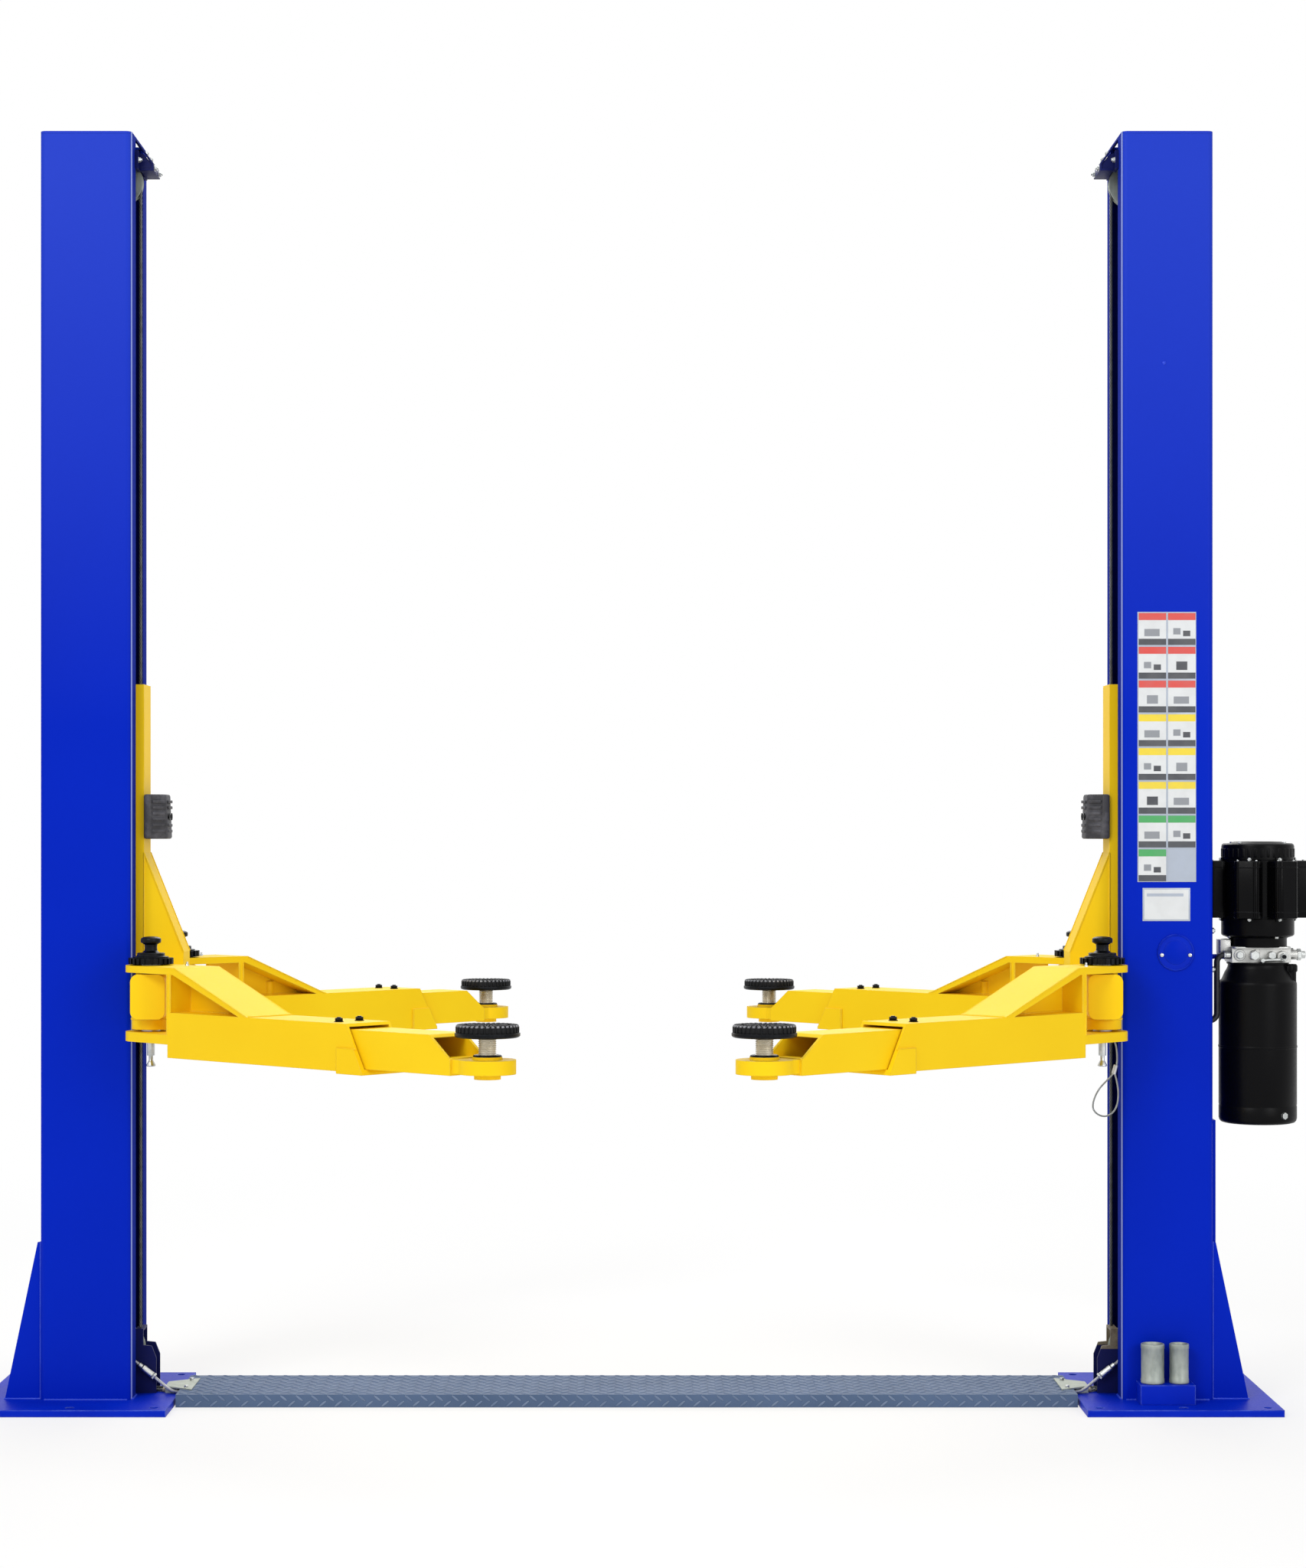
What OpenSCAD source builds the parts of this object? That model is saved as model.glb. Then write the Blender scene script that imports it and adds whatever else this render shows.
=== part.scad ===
// Two post car lift: two columns on base plates, a carriage on each column, and four swinging
// telescopic arms with screw pads. X runs from column to column, Y from front to rear, Z up from
// the floor. The origin lies on the floor, midway between the columns.

/* [Overall] */
// Height of the columns above the floor
lift_h = 3000; // [2700:10:3400]
// Clear width between the two columns
clear_w = 2330; // [2250:10:2600]

/* [Columns] */
// Width of a column from front to rear
col_w = 240; // [230:1:280]
// Depth of a column from its lips to its outer face
col_d = 215; // [205:1:250]
// Thickness of the column's bent plate
col_t = 6; // [5:0.5:7]
// Outer radius of the column's bent corners
col_r = 14; // [9:1:20]
// Width of each lip beside the slot
lip_w = 65; // [55:1:68]
// Thickness of the cap on a column
cap_t = 6; // [4:1:10]
// Depth of the cable window in the cap
cap_window = 70; // [40:1:100]

/* [Base plates] */
// Thickness of a base plate
base_t = 16; // [12:1:16]
// Width of a base plate from front to rear
base_w = 500; // [480:10:700]
// Reach of a base plate inward of the column
base_in = 100; // [90:5:150]
// Reach of a base plate outward of the column
base_out = 140; // [110:5:220]
// Diameter of an anchor hole
anchor_d = 20; // [14:1:24]
// Distance of an anchor hole's centre from the plate's edges
anchor_inset = 32; // [24:1:45]
// Height of a gusset above the base plate
gusset_h = 369; // [200:1:500]
// Width of a gusset at its foot
gusset_foot = 85; // [50:1:105]
// Width of a gusset at its top
gusset_head = 8; // [4:1:20]
// Thickness of a gusset
gusset_t = 8; // [5:1:12]
// Height of the backing plate on the power unit's column
backing_h = 656; // [450:1:900]
// Thickness of the backing plate
backing_t = 9; // [4:1:12]

/* [Floor cover] */
// Width of the floor cover from front to rear
cover_w = 256; // [200:2:300]
// Height of the floor cover
cover_h = 30; // [30:1:40]
// Thickness of the cover's plate
cover_t = 4; // [2:0.5:4]
// Gap between the cover's end and a base plate
cover_gap = 5; // [2:1:20]
// Width of the cable guard at its wide end
guard_w = 150; // [100:1:200]
// Width of the cable guard at its narrow end
guard_nose = 60; // [50:1:80]

/* [Cables and pulleys] */
// Diameter of the equalizer cables
cable_d = 8; // [6:0.5:8]
// Radius of the cable's centre line on a pulley
pulley_r = 48; // [40:1:50]
// Height of a pulley's rim above the cable's centre line
rim_h = 7; // [5:0.5:8]
// Width of a pulley
pulley_w = 16; // [12:1:18]
// Distance from the lips' plane to the pulleys' axles
pulley_in = 43; // [40:1:45]
// Height of the lower pulleys' axle
low_pulley_z = 118; // [112:1:119]
// Depth of the upper pulley's axle below the column's top
top_pulley_drop = 101; // [95:1:160]
// Slope of the cable between the lower pulley and the floor
cable_slope = 40; // [30:1:50]
// Distance of each cable from the mid-plane
cable_y = 15; // [13:1:18]
// Diameter of a pulley's axle
axle_d = 24; // [16:1:30]

/* [Cylinders] */
// Diameter of a lift cylinder
cylinder_d = 76; // [50:1:80]
// Height of a lift cylinder
cylinder_h = 1750; // [1200:10:2000]

/* [Carriages] */
// Height of a carriage's top at rest
carriage_top = 1702; // [1650:1:1750]
// Height of a carriage's lower end at rest
carriage_low = 970; // [970:1:985]
// Depth of the slider inside the column
slider_d = 62; // [50:1:66]
// Gap between the slider and the lips, which the slide blocks fill
slider_gap = 9; // [6:1:12]
// Wall of the slider and of the mast
slider_t = 5; // [4:0.5:6]
// Running clearance of the slide blocks
block_gap = 1; // [0.5:0.1:2]
// Height of a slide block
block_h = 120; // [60:5:200]
// Reach of the mast inward of the lips
mast_in = 19; // [18:1:22]
// Width of the mast
mast_w = 100; // [84:1:100]
// Height of the flare's top
flare_top = 1302; // [1200:1:1320]
// Height of the door guard
guard_h = 106; // [60:1:150]
// Depth of the door guard
guard_d = 54; // [30:1:60]
// Height of the door guard's lower end
guard_z = 1335; // [1325:1:1450]

/* [Arm beams] */
// Depth of an arm beam
beam_d = 80; // [74:1:84]
// Height of an arm beam
beam_h = 104; // [90:1:110]
// Height of an arm beam's underside at rest
beam_z = 920; // [915:1:925]
// Length of an arm beam
beam_l = 560; // [540:2:600]
// Distance from the lips' plane to an arm beam
beam_gap = 23; // [21:1:26]
// Wall of an arm beam
beam_t = 8; // [6:1:10]
// Outer radius of an arm beam's corners
beam_r = 18; // [12:1:24]
// Distance of the arm pivots from the mid-plane
pivot_y = 215; // [210:1:220]
// Diameter of a pivot pin
pin_d = 44; // [36:1:50]
// Diameter of the bore through a pivot pin
pin_bore = 20; // [16:1:24]

/* [Arms] */
// Angle of the front arms from the line between the columns
front_angle = 42.4; // [30:0.1:55]
// Length of the front arms from pivot to pad
front_len = 1105; // [1040:1:1200]
// Angle of the rear arms from the line between the columns
rear_angle = 45.9; // [30:0.1:55]
// Length of the rear arms from pivot to pad
rear_len = 1037; // [1010:1:1200]
// Radius of an arm's fork round its pivot
fork_r = 58; // [48:1:60]
// Thickness of the fork's upper plate
fork_top_t = 16; // [10:1:20]
// Thickness of the fork's lower plate
fork_low_t = 22; // [14:1:24]
// Width of the outer tube
tube_w = 130; // [126:1:140]
// Height of the outer tube
tube_h = 103; // [98:1:110]
// Wall of the outer tube
tube_t = 7; // [5:0.5:7]
// Distance from the pivot to the outer tube
tube_start = 140; // [125:1:145]
// Distance from the pivot to the outer tube's end on top
tube_end = 740; // [640:1:760]
// Length by which the outer tube's underside is longer than its top
tube_slant = 56; // [20:1:60]
// Distance from the pivot to the foot of the slope plate
slope_end = 418; // [340:1:460]
// Thickness of the slope plate
slope_t = 12; // [8:1:16]
// Thickness of the rib under the slope plate
rib_t = 10; // [6:1:16]
// Width of the inner tube
inner_w = 108; // [100:1:112]
// Height of the inner tube
inner_h = 83; // [76:1:86]
// Wall of the inner tube
inner_t = 7; // [5:0.5:8]
// Length from the inner tube's tail to the pad's centre
inner_len = 700; // [600:1:700]
// Running gap under the inner tube
tube_gap = 0.3; // [0.2:0.1:1]

/* [Pads] */
// Radius of the inner arm's round tip
tip_r = 60; // [50:1:65]
// Thickness of the tip plate
tip_t = 30; // [24:1:34]
// Diameter of the pad's screw
screw_d = 38; // [30:1:44]
// Radial play of the screw in its bore
screw_gap = 0.5; // [0.3:0.1:0.8]
// Diameter of the threaded collar under a pad
collar_d = 62; // [54:1:80]
// Height of the screw that shows above the collar
screw_show = 40; // [38:1:60]
// Diameter of a pad's steel saucer
saucer_d = 137; // [110:1:150]
// Height of the saucer
saucer_h = 10; // [6:1:14]
// Height of the rubber above the saucer's floor
rubber_h = 22; // [14:1:30]

/* [Arm locks] */
// Diameter of the lock's toothed disc
disc_d = 104; // [80:1:110]
// Thickness of the lock's disc
disc_h = 14; // [10:1:18]
// Number of teeth on the lock's disc
disc_teeth = 24; // [12:1:36]
// Diameter of the lock's hub
hub_d = 64; // [50:1:70]
// Diameter of the knob
knob_d = 47; // [36:1:52]
// Height of the knob's top above the disc
knob_h = 64; // [50:1:80]
// Length of the release rod below the arm's fork
rod_drop = 60; // [40:1:60]

/* [Power unit] */
// Distance from the column's outer face to the power unit's axis
unit_out = 128; // [118:1:160]
// Diameter of the motor
motor_d = 172; // [150:1:176]
// Height of the motor
motor_h = 252; // [200:1:300]
// Height of the valve block's underside
block_z = 1041; // [900:1:1200]
// Height of the valve block
valve_h = 36; // [30:1:60]
// Diameter of the oil tank
tank_d = 184; // [150:1:200]
// Height of the oil tank
tank_h = 383; // [300:1:360]
// Wall of the oil tank
tank_t = 3; // [2:0.5:5]
// Height of the tank's sloping shoulder
shoulder_h = 38; // [20:1:60]
// Distance by which the tank narrows over its shoulder
shoulder_in = 22; // [12:1:26]
// Width of the valve block
valve_w = 140; // [100:2:144]
// Height of the capacitors' housings
cap_h = 136; // [90:1:150]
// Width of a capacitors' housing
cap_w = 64; // [50:1:66]
// Diameter of the hydraulic hose
hose_d = 14; // [10:1:16]

/* [Trim] */
// Diameter of the inspection cover
cover_d = 86; // [60:1:100]
// Height of the inspection cover's centre
cover_z = 1068; // [900:1:1300]
// Diameter of the larger height adapters
adapter_d = 55; // [48:1:60]
// Diameter of the smaller height adapters
adapter_small_d = 46; // [40:1:48]
// Height of the height adapters
adapter_h = 92; // [70:1:120]
// Height of the adapters' rack above the base plate
rack_h = 46; // [30:1:80]
// Depth of the adapters' rack
rack_d = 66; // [64:1:90]
// Diameter of the release cable
release_d = 4; // [3:0.5:5]

/* [Hidden] */
$fn = 48;

// Overlap of a cut past the face that it opens
eps = 1;
// Gap between a piece and its seat
seat = 0.3;

// Planes of the columns
lip_x = clear_w / 2;
col_back = lip_x + col_d;
col_top = lift_h - cap_t;
slot_w = col_w - 2 * lip_w;
base_x0 = lip_x - base_in;
base_x1 = col_back + base_out;

// Pulleys and cables
pulley_x = lip_x + pulley_in;
top_pulley_z = lift_h - top_pulley_drop;
rim_r = pulley_r + rim_h;
arc_step = 15;
groove_r = pulley_r * cos(arc_step / 2) - cable_d / 2 - 0.3;
floor_cable_z = base_t + 1 + cable_d / 2;
axle_gap = 0.2;
cheek_t = 6;
cheek_y0 = cable_y + pulley_w / 2 + 3;
knee_r = 40;
slope_run = (low_pulley_z - pulley_r * cos(cable_slope) - floor_cable_z
  - knee_r * (1 - cos(cable_slope))) / sin(cable_slope);
knee_x = pulley_x + (pulley_r - knee_r) * sin(cable_slope) - slope_run * cos(cable_slope);
cross_z = top_pulley_z + rim_r + 4;
cross_t = 8;
anchor_z = low_pulley_z + 46;
anchor_t = 5;

// Carriage, from the lips' plane outward
slider_x0 = lip_x + col_t + slider_gap;
slider_x1 = slider_x0 + slider_d;
slider_half = col_w / 2 - col_t - slider_gap - block_gap;
mast_x0 = lip_x - mast_in;
block_cut = 0.6 * (col_r - col_t);
beam_x1 = lip_x - beam_gap;
beam_x0 = beam_x1 - beam_d;
pivot_x = beam_x1 - beam_d / 2 + 2;
beam_top = beam_z + beam_h;

// Arm levels
fork_top_z = beam_top + 3;
fork_low_z = beam_z - 52;
low_hub_h = beam_z - fork_low_z - fork_low_t - 5;
tube_z = fork_low_z - 30;
inner_z = tube_z + tube_t + tube_gap;
fork_crown = fork_top_z + fork_top_t;
collar_h = 6;
tip_top = inner_z + 4 + tip_t;
pad_z = tip_top + collar_h + screw_show;
screw_low = inner_z - 7;
lock_z = fork_crown + 2.7;
pin_top = lock_z - seat;
pin_low = fork_low_z - 2;
pin_gap = 0.4;

// Power unit
unit_x = col_back + unit_out;
cap_z = block_z + valve_h + 70;
cap_reach = unit_out - 1;
hose_gap = 24;
hose_bend_r = 18;
hose_y = -34;

// Places on the column's front face
cover_x = lip_x + col_d / 2 + 18.5;
rack_x = lip_x + 97;
rack_y = -col_w / 2 - rack_d / 2;

function side_of(s) = s < 0 ? [1, 0, 0] : [0, 0, 0];

// Mirrors its children onto the left column when s is -1
module on_side(s) {
  mirror(side_of(s)) children();
}

// Rectangle with round corners, from [x0, y0] to [x1, y1]
module round_rect(x0, y0, x1, y1, r) {
  translate([x0 + r, y0]) square([x1 - x0 - 2 * r, y1 - y0]);
  translate([x0, y0 + r]) square([x1 - x0, y1 - y0 - 2 * r]);
  for (x = [x0 + r, x1 - r], y = [y0 + r, y1 - r]) translate([x, y]) circle(r);
}

// Box from one corner to the opposite one
module box(low, high) {
  translate(low) cube(high - low);
}

// Cylinder along Y that starts at y0
module y_rod(x, y0, z, d, l) {
  translate([x, y0, z]) rotate([-90, 0, 0]) cylinder(d = d, h = l);
}

// Profile extruded along Y: its x is X and its y is Z
module along_y(y0, l) {
  translate([0, y0 + l, 0]) rotate([90, 0, 0]) linear_extrude(l) children();
}

module base_plate(s) {
  color("#1a3bc4") on_side(s) difference() {
    box([base_x0, -base_w / 2, 0], [base_x1, base_w / 2, base_t]);
    for (x = [base_x0 + anchor_inset, (base_x0 + base_x1) / 2, base_x1 - anchor_inset])
      for (y = [-1, 1] * (base_w / 2 - anchor_inset))
        translate([x, y, -eps]) cylinder(d = anchor_d, h = base_t + 2 * eps);
  }
}

module column(s) {
  color("#1a3bc4") difference() {
    on_side(s) translate([0, 0, base_t]) linear_extrude(col_top - base_t) difference() {
      round_rect(lip_x, -col_w / 2, col_back, col_w / 2, col_r);
      round_rect(lip_x + col_t, -col_w / 2 + col_t, col_back - col_t, col_w / 2 - col_t,
        col_r - col_t);
      translate([lip_x - eps, -slot_w / 2]) square([col_t + 2 * eps, slot_w]);
    }
    y_rod(s * cover_x, -s * col_w / 2 - (s > 0 ? eps : col_t + eps), cover_z, cover_d - 24,
      col_t + 2 * eps);
  }
}

module column_caps() {
  color("#1a3bc4") for (s = [-1, 1]) on_side(s) difference() {
    translate([0, 0, col_top]) linear_extrude(cap_t)
      round_rect(lip_x, -col_w / 2, col_back, col_w / 2, col_r);
    box([lip_x + col_t, -slot_w / 2, col_top - eps],
      [lip_x + col_t + cap_window, slot_w / 2, lift_h + eps]);
  }
}

module gusset(x0, y0) {
  along_y(y0, gusset_t) polygon([
    [x0, base_t], [col_back + gusset_foot, base_t],
    [col_back + gusset_head, base_t + gusset_h], [x0, base_t + gusset_h]
  ]);
}

module base_gussets() {
  color("#1a3bc4") {
    for (s = [-1, 1], y0 = [-col_w / 2 + col_r, col_w / 2 - col_r - gusset_t])
      on_side(s) gusset(col_back, y0);
    box([col_back, -col_w / 2 + col_r + gusset_t, base_t],
      [col_back + backing_t, col_w / 2 - col_r - gusset_t, base_t + backing_h]);
  }
}

module floor_cover() {
  half = base_x0 - cover_gap;
  y1 = cover_w / 2;
  color("#6f7f95") {
    difference() {
      box([-half, -y1, 0], [half, y1, cover_h]);
      box([-half - eps, -y1 + cover_t, -eps], [half + eps, y1 - cover_t, cover_h - cover_t]);
    }
    for (x = [-half, half - 10]) box([x, -y1, 0], [x + 10, y1, 6]);
  }
}

// Bent guard over the cables between the floor cover and a base plate
module cable_guards() {
  color("silver") for (s = [-1, 1]) on_side(s) {
    x0 = base_x0;
    translate([0, 0, cover_h]) linear_extrude(3) polygon([
      [x0 - cover_gap - 30, -guard_w / 2], [x0 - cover_gap - 30, guard_w / 2],
      [x0 + 34, guard_nose / 2], [x0 + 34, -guard_nose / 2]
    ]);
    for (y = [-guard_nose / 2, guard_nose / 2 - 3])
      box([x0 + 6, y, base_t], [x0 + 34, y + 3, cover_h]);
  }
}

// Cheek of the lower pulleys' bracket, with its nose below the cables' anchor
module low_cheek(y0) {
  difference() {
    along_y(y0, cheek_t) polygon([
      [lip_x - 45, base_t], [lip_x - 45, low_pulley_z - 18], [lip_x - 34, low_pulley_z + 10],
      [lip_x - 14, low_pulley_z + 12], [lip_x - 14, anchor_z], [lip_x + 4, anchor_z],
      [pulley_x, low_pulley_z + 30], [pulley_x + 42, low_pulley_z + 12], [pulley_x + 42, base_t]
    ]);
    y_rod(pulley_x, y0 - eps, low_pulley_z, axle_d + 2 * axle_gap, cheek_t + 2 * eps);
  }
}

module top_cheek(y0) {
  difference() {
    box([pulley_x - 30, y0, top_pulley_z - 30], [pulley_x + 30, y0 + cheek_t, cross_z]);
    y_rod(pulley_x, y0 - eps, top_pulley_z, axle_d + 2 * axle_gap, cheek_t + 2 * eps);
  }
}

// Turns its children half a turn for the left column, so that each cable changes sides
module turned(s) {
  rotate([0, 0, s < 0 ? 180 : 0]) children();
}

module pulley_brackets() {
  inner = col_w / 2 - col_t;
  bar_y = cheek_y0 + cheek_t;
  window = cable_y + pulley_w / 2 + 4;
  color("#2a3350") for (s = [-1, 1]) turned(s) {
    for (y = [-cheek_y0 - cheek_t, cheek_y0]) low_cheek(y);
    box([lip_x - 14, -bar_y, anchor_z], [lip_x + 4, bar_y, anchor_z + anchor_t]);
    top_cheek(cable_y + pulley_w / 2 + 3);
    top_cheek(cable_y - pulley_w / 2 - 3 - cheek_t);
    translate([0, 0, cross_z]) linear_extrude(cross_t)
      round_rect(lip_x + col_t, -inner, pulley_x + pulley_r + 22, inner, col_r - col_t);
    difference() {
      box([lip_x - 8, -slot_w / 2 - 15, top_pulley_z + 24], [lip_x, slot_w / 2 + 15, cross_z + cross_t]);
      box([lip_x - 8 - eps, -window, top_pulley_z + 24 - eps], [lip_x + eps, window, top_pulley_z + 42]);
    }
  }
}

// Grooved pulley on its axle
module pulley(y, z) {
  w = pulley_w / 2;
  translate([pulley_x, y, z]) rotate([-90, 0, 0]) rotate_extrude() polygon([
    [0, -w], [rim_r, -w], [groove_r, -w * 0.45], [groove_r, w * 0.45], [rim_r, w], [0, w]
  ]);
}

module cable_pulleys() {
  color("#9aa79c") for (s = [-1, 1]) turned(s) {
    for (y = [-cable_y, cable_y]) pulley(y, low_pulley_z);
    y_rod(pulley_x, -cheek_y0 - cheek_t - 4, low_pulley_z, axle_d, 2 * (cheek_y0 + cheek_t + 4));
    pulley(cable_y, top_pulley_z);
    y_rod(pulley_x, cable_y - pulley_w / 2 - cheek_t - 7, top_pulley_z, axle_d,
      pulley_w + 2 * cheek_t + 14);
  }
}

function unit(v) = v / norm(v);

// Round tube of diameter d swept along a line of points that lies near the XZ plane
module sweep(line, d, sides) {
  last = len(line) - 1;
  points = [for (i = [0 : last]) let(
    t = unit(unit(line[min(i + 1, last)] - line[max(min(i, last - 1), 0)])
      + unit(line[max(min(i, last), 1)] - line[max(i - 1, 0)])),
    n = unit(cross(t, [0, 1, 0])),
    b = cross(t, n)
  ) for (k = [0 : sides - 1]) line[i] + d / 2 * (n * cos(360 * k / sides) + b * sin(360 * k / sides))];
  polyhedron(points, concat(
    [[for (k = [0 : sides - 1]) k]],
    [for (i = [0 : last - 1], k = [0 : sides - 1]) let(m = (k + 1) % sides)
      [i * sides + m, i * sides + k, (i + 1) * sides + k, (i + 1) * sides + m]],
    [[for (k = [sides - 1 : -1 : 0]) last * sides + k]]
  ));
}

// Points on an arc in the XZ plane about [x, z], from angle a0 to a1
function arc_points(x, z, r, a0, a1) = let(n = ceil(abs(a1 - a0) / arc_step))
  [for (i = [0 : n]) let(a = a0 + (a1 - a0) * i / n) [x + r * cos(a), cable_y, z + r * sin(a)]];

// Lower end of a cable: part of a turn round the pulley, the slope, and the bend to the floor run
function foot_points() = concat(
  arc_points(pulley_x, low_pulley_z, pulley_r, 0, cable_slope - 90),
  arc_points(knee_x, floor_cable_z + knee_r, knee_r, cable_slope - 90, -90)
);

function reversed(list) = [for (i = [len(list) - 1 : -1 : 0]) list[i]];
function mirrored(list) = [for (p = list) [-p[0], p[1], p[2]]];

// One cable: over the right top pulley, down and across the floor, up to the left column's top
function cable_line() = concat(
  [[pulley_x - pulley_r, cable_y, anchor_z + anchor_t]],
  arc_points(pulley_x, top_pulley_z, pulley_r, 180, 0),
  foot_points(),
  mirrored(reversed(foot_points())),
  [[-pulley_x - pulley_r, cable_y, cross_z]]
);

module equalizer_cables() {
  color("#7d8288") for (s = [-1, 1]) turned(s) sweep(cable_line(), cable_d, 10);
}

module lift_cylinders() {
  x = col_back - col_t - cylinder_d / 2 - 6;
  color("#30343c") for (s = [-1, 1]) translate([s * x, 0, base_t]) {
    cylinder(d = cylinder_d, h = cylinder_h);
    translate([0, 0, cylinder_h]) cylinder(d = cylinder_d - 16, h = 30);
  }
}

module inspection_covers() {
  color("#1a3bc4") for (s = [-1, 1]) turned(s) {
    y_rod(cover_x, -col_w / 2 - 3, cover_z, cover_d, 3);
    y_rod(cover_x, -col_w / 2, cover_z, cover_d - 26, col_t);
  }
}

module adapter_rack() {
  x0 = rack_x - 64;
  x1 = rack_x + 64;
  y1 = -col_w / 2;
  z1 = base_t + rack_h;
  color("#1a3bc4") {
    difference() {
      box([x0, y1 - rack_d, base_t], [x1, y1, z1]);
      box([x0 + 4, y1 - rack_d + 4, base_t - eps], [x1 - 4, y1 + eps, z1 - 4]);
    }
    for (x = [-31, 31]) translate([rack_x + x, rack_y, z1]) cylinder(d = 24, h = 16);
  }
}

module height_adapters() {
  z = base_t + rack_h + seat;
  color("#8c938f") for (i = [0, 1]) {
    d = [adapter_d, adapter_small_d][i];
    translate([rack_x + [-31, 31][i], rack_y, z]) difference() {
      cylinder(d = d, h = adapter_h);
      translate([0, 0, -eps]) cylinder(d = d - 12, h = adapter_h + 2 * eps);
    }
  }
}

module power_unit_bracket() {
  color("#1a3bc4") {
    box([col_back, -60, block_z - 30], [col_back + 8, 60, block_z + 90]);
    box([col_back + 8, -22, block_z + 8], [unit_x - valve_w / 2, 22, block_z + 18]);
  }
}

module valve_block() {
  h = valve_w / 2;
  color("silver") {
    box([unit_x - h, -45, block_z], [unit_x + h, 45, block_z + valve_h]);
    y_rod(unit_x - 20, -67, block_z + valve_h / 2, 22, 22);
    y_rod(unit_x + 22, -61, block_z + valve_h / 2, 18, 16);
    translate([unit_x + h, -14, block_z + valve_h / 2]) rotate([0, 90, 0]) cylinder(d = 24, h = 20);
  }
}

module motor() {
  z = block_z + valve_h;
  color("#1b1c20") translate([unit_x, 0, z]) {
    cylinder(d = motor_d - 8, h = 14);
    translate([0, 0, 14]) cylinder(d = motor_d, h = motor_h - 44);
    translate([0, 0, motor_h - 30]) cylinder(d1 = motor_d - 6, d2 = motor_d - 20, h = 30);
  }
}

// Housings on the motor's sides, and a pair side by side in front
module capacitor_housings() {
  r = motor_d / 2;
  w = cap_w / 2;
  color("#202126") translate([unit_x, 0, cap_z]) difference() {
    linear_extrude(cap_h) for (a = [-114, -66, 0, 180]) rotate(a)
      round_rect(r - 14, -w, cap_reach, w, 12);
    translate([0, 0, -eps]) cylinder(r = r, h = cap_h + 2 * eps);
  }
}

module oil_tank() {
  r = tank_d / 2;
  z = block_z - tank_h;
  neck = r - shoulder_in;
  shoulder_z = tank_h - 8 - shoulder_h;
  color("#18191c") translate([unit_x, 0, z]) rotate_extrude() polygon([
    [0, 0], [r - 10, 0], [r, 8], [r, shoulder_z], [neck, tank_h - 8], [neck, tank_h],
    [0, tank_h], [0, tank_h - tank_t], [neck - tank_t, tank_h - tank_t],
    [neck - tank_t, tank_h - 8], [r - tank_t, shoulder_z], [r - tank_t, 9], [r - 11, tank_t],
    [0, tank_t]
  ]);
  color("#18191c") translate([unit_x, 0, z + shoulder_z]) rotate([0, 0, -20])
    translate([r - 16, 0, 0]) cylinder(d = 30, h = shoulder_h + 4);
}

// Quarter bend of hose in the XZ plane, about [x, z] and from angle a
module hose_bend(x, z, a) {
  translate([x, 0, z]) rotate([90, 0, 0]) rotate([0, 0, a])
    rotate_extrude(angle = 90) translate([hose_bend_r, 0]) circle(d = hose_d);
}

// Hose from the valve block down between the column and the tank, and into the column
module hydraulic_hose() {
  x = col_back + hose_gap;
  z1 = block_z + valve_h / 2 - hose_bend_r;
  z0 = block_z - 120;
  stub = unit_x - valve_w / 2 - x - hose_bend_r;
  color("#15161a") translate([0, hose_y, 0]) {
    translate([x + hose_bend_r, 0, z1 + hose_bend_r]) rotate([0, 90, 0])
      cylinder(d = hose_d, h = stub);
    hose_bend(x + hose_bend_r, z1, 90);
    translate([x, 0, z0]) cylinder(d = hose_d, h = z1 - z0);
    hose_bend(x - hose_bend_r, z0, -90);
    translate([col_back, 0, z0 - hose_bend_r]) rotate([0, 90, 0])
      cylinder(d = hose_d, h = hose_gap - hose_bend_r);
  }
}

// Slider in the column, mast in the slot and flare down to the arm beam
module carriage(s) {
  w = slider_half;
  m = mast_w / 2;
  t = slider_t;
  color("#f5d01e") on_side(s) {
    difference() {
      union() {
        box([slider_x0, -w, carriage_low], [slider_x1, w, carriage_top]);
        box([mast_x0, -m, carriage_low], [slider_x0 + t, m, carriage_top]);
      }
      box([slider_x0 + t, -w + t, carriage_low - eps], [slider_x1 - t, w - t, carriage_top + eps]);
      box([mast_x0 + t, -m + t, carriage_low - eps], [slider_x0 - 2, m - t, carriage_top + eps]);
    }
    for (y = [-m, m - 8]) along_y(y, 8) flare_profile();
    along_y(-m + 8, mast_w - 16) flare_skin();
  }
}

// Side of the flare, from the mast down to the arm beam
module flare_profile() {
  polygon([
    [mast_x0, flare_top], [beam_x0 - 10, beam_top + 42], [beam_x0 - 10, beam_top],
    [mast_x0, beam_top]
  ]);
}

module flare_skin() {
  polygon([
    [mast_x0, flare_top], [beam_x0 - 10, beam_top + 42], [beam_x0 - 10, beam_top],
    [beam_x0 - 4, beam_top], [beam_x0 - 4, beam_top + 43], [mast_x0, flare_top - 16]
  ]);
}

module slide_blocks(s) {
  x0 = lip_x + col_t + block_gap;
  y1 = slider_half + slider_gap;
  color("#e8e4d8") on_side(s) for (z = [carriage_low, carriage_top - block_h])
    for (m = [0, 1]) mirror([0, m, 0]) translate([0, 0, z]) linear_extrude(block_h) polygon([
      [x0, slider_half], [x0, y1 - block_cut], [x0 + block_cut, y1], [slider_x1, y1],
      [slider_x1, slider_half]
    ]);
}

module door_guard(s) {
  w = mast_w / 2 + 12;
  x1 = mast_x0 - seat;
  color("#3a3a3a") on_side(s) translate([0, 0, guard_z]) linear_extrude(guard_h) polygon([
    [x1, -w], [x1 - 16, -w], [x1 - guard_d, -w + 28], [x1 - guard_d, w - 28], [x1 - 16, w],
    [x1, w]
  ]);
}

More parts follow.
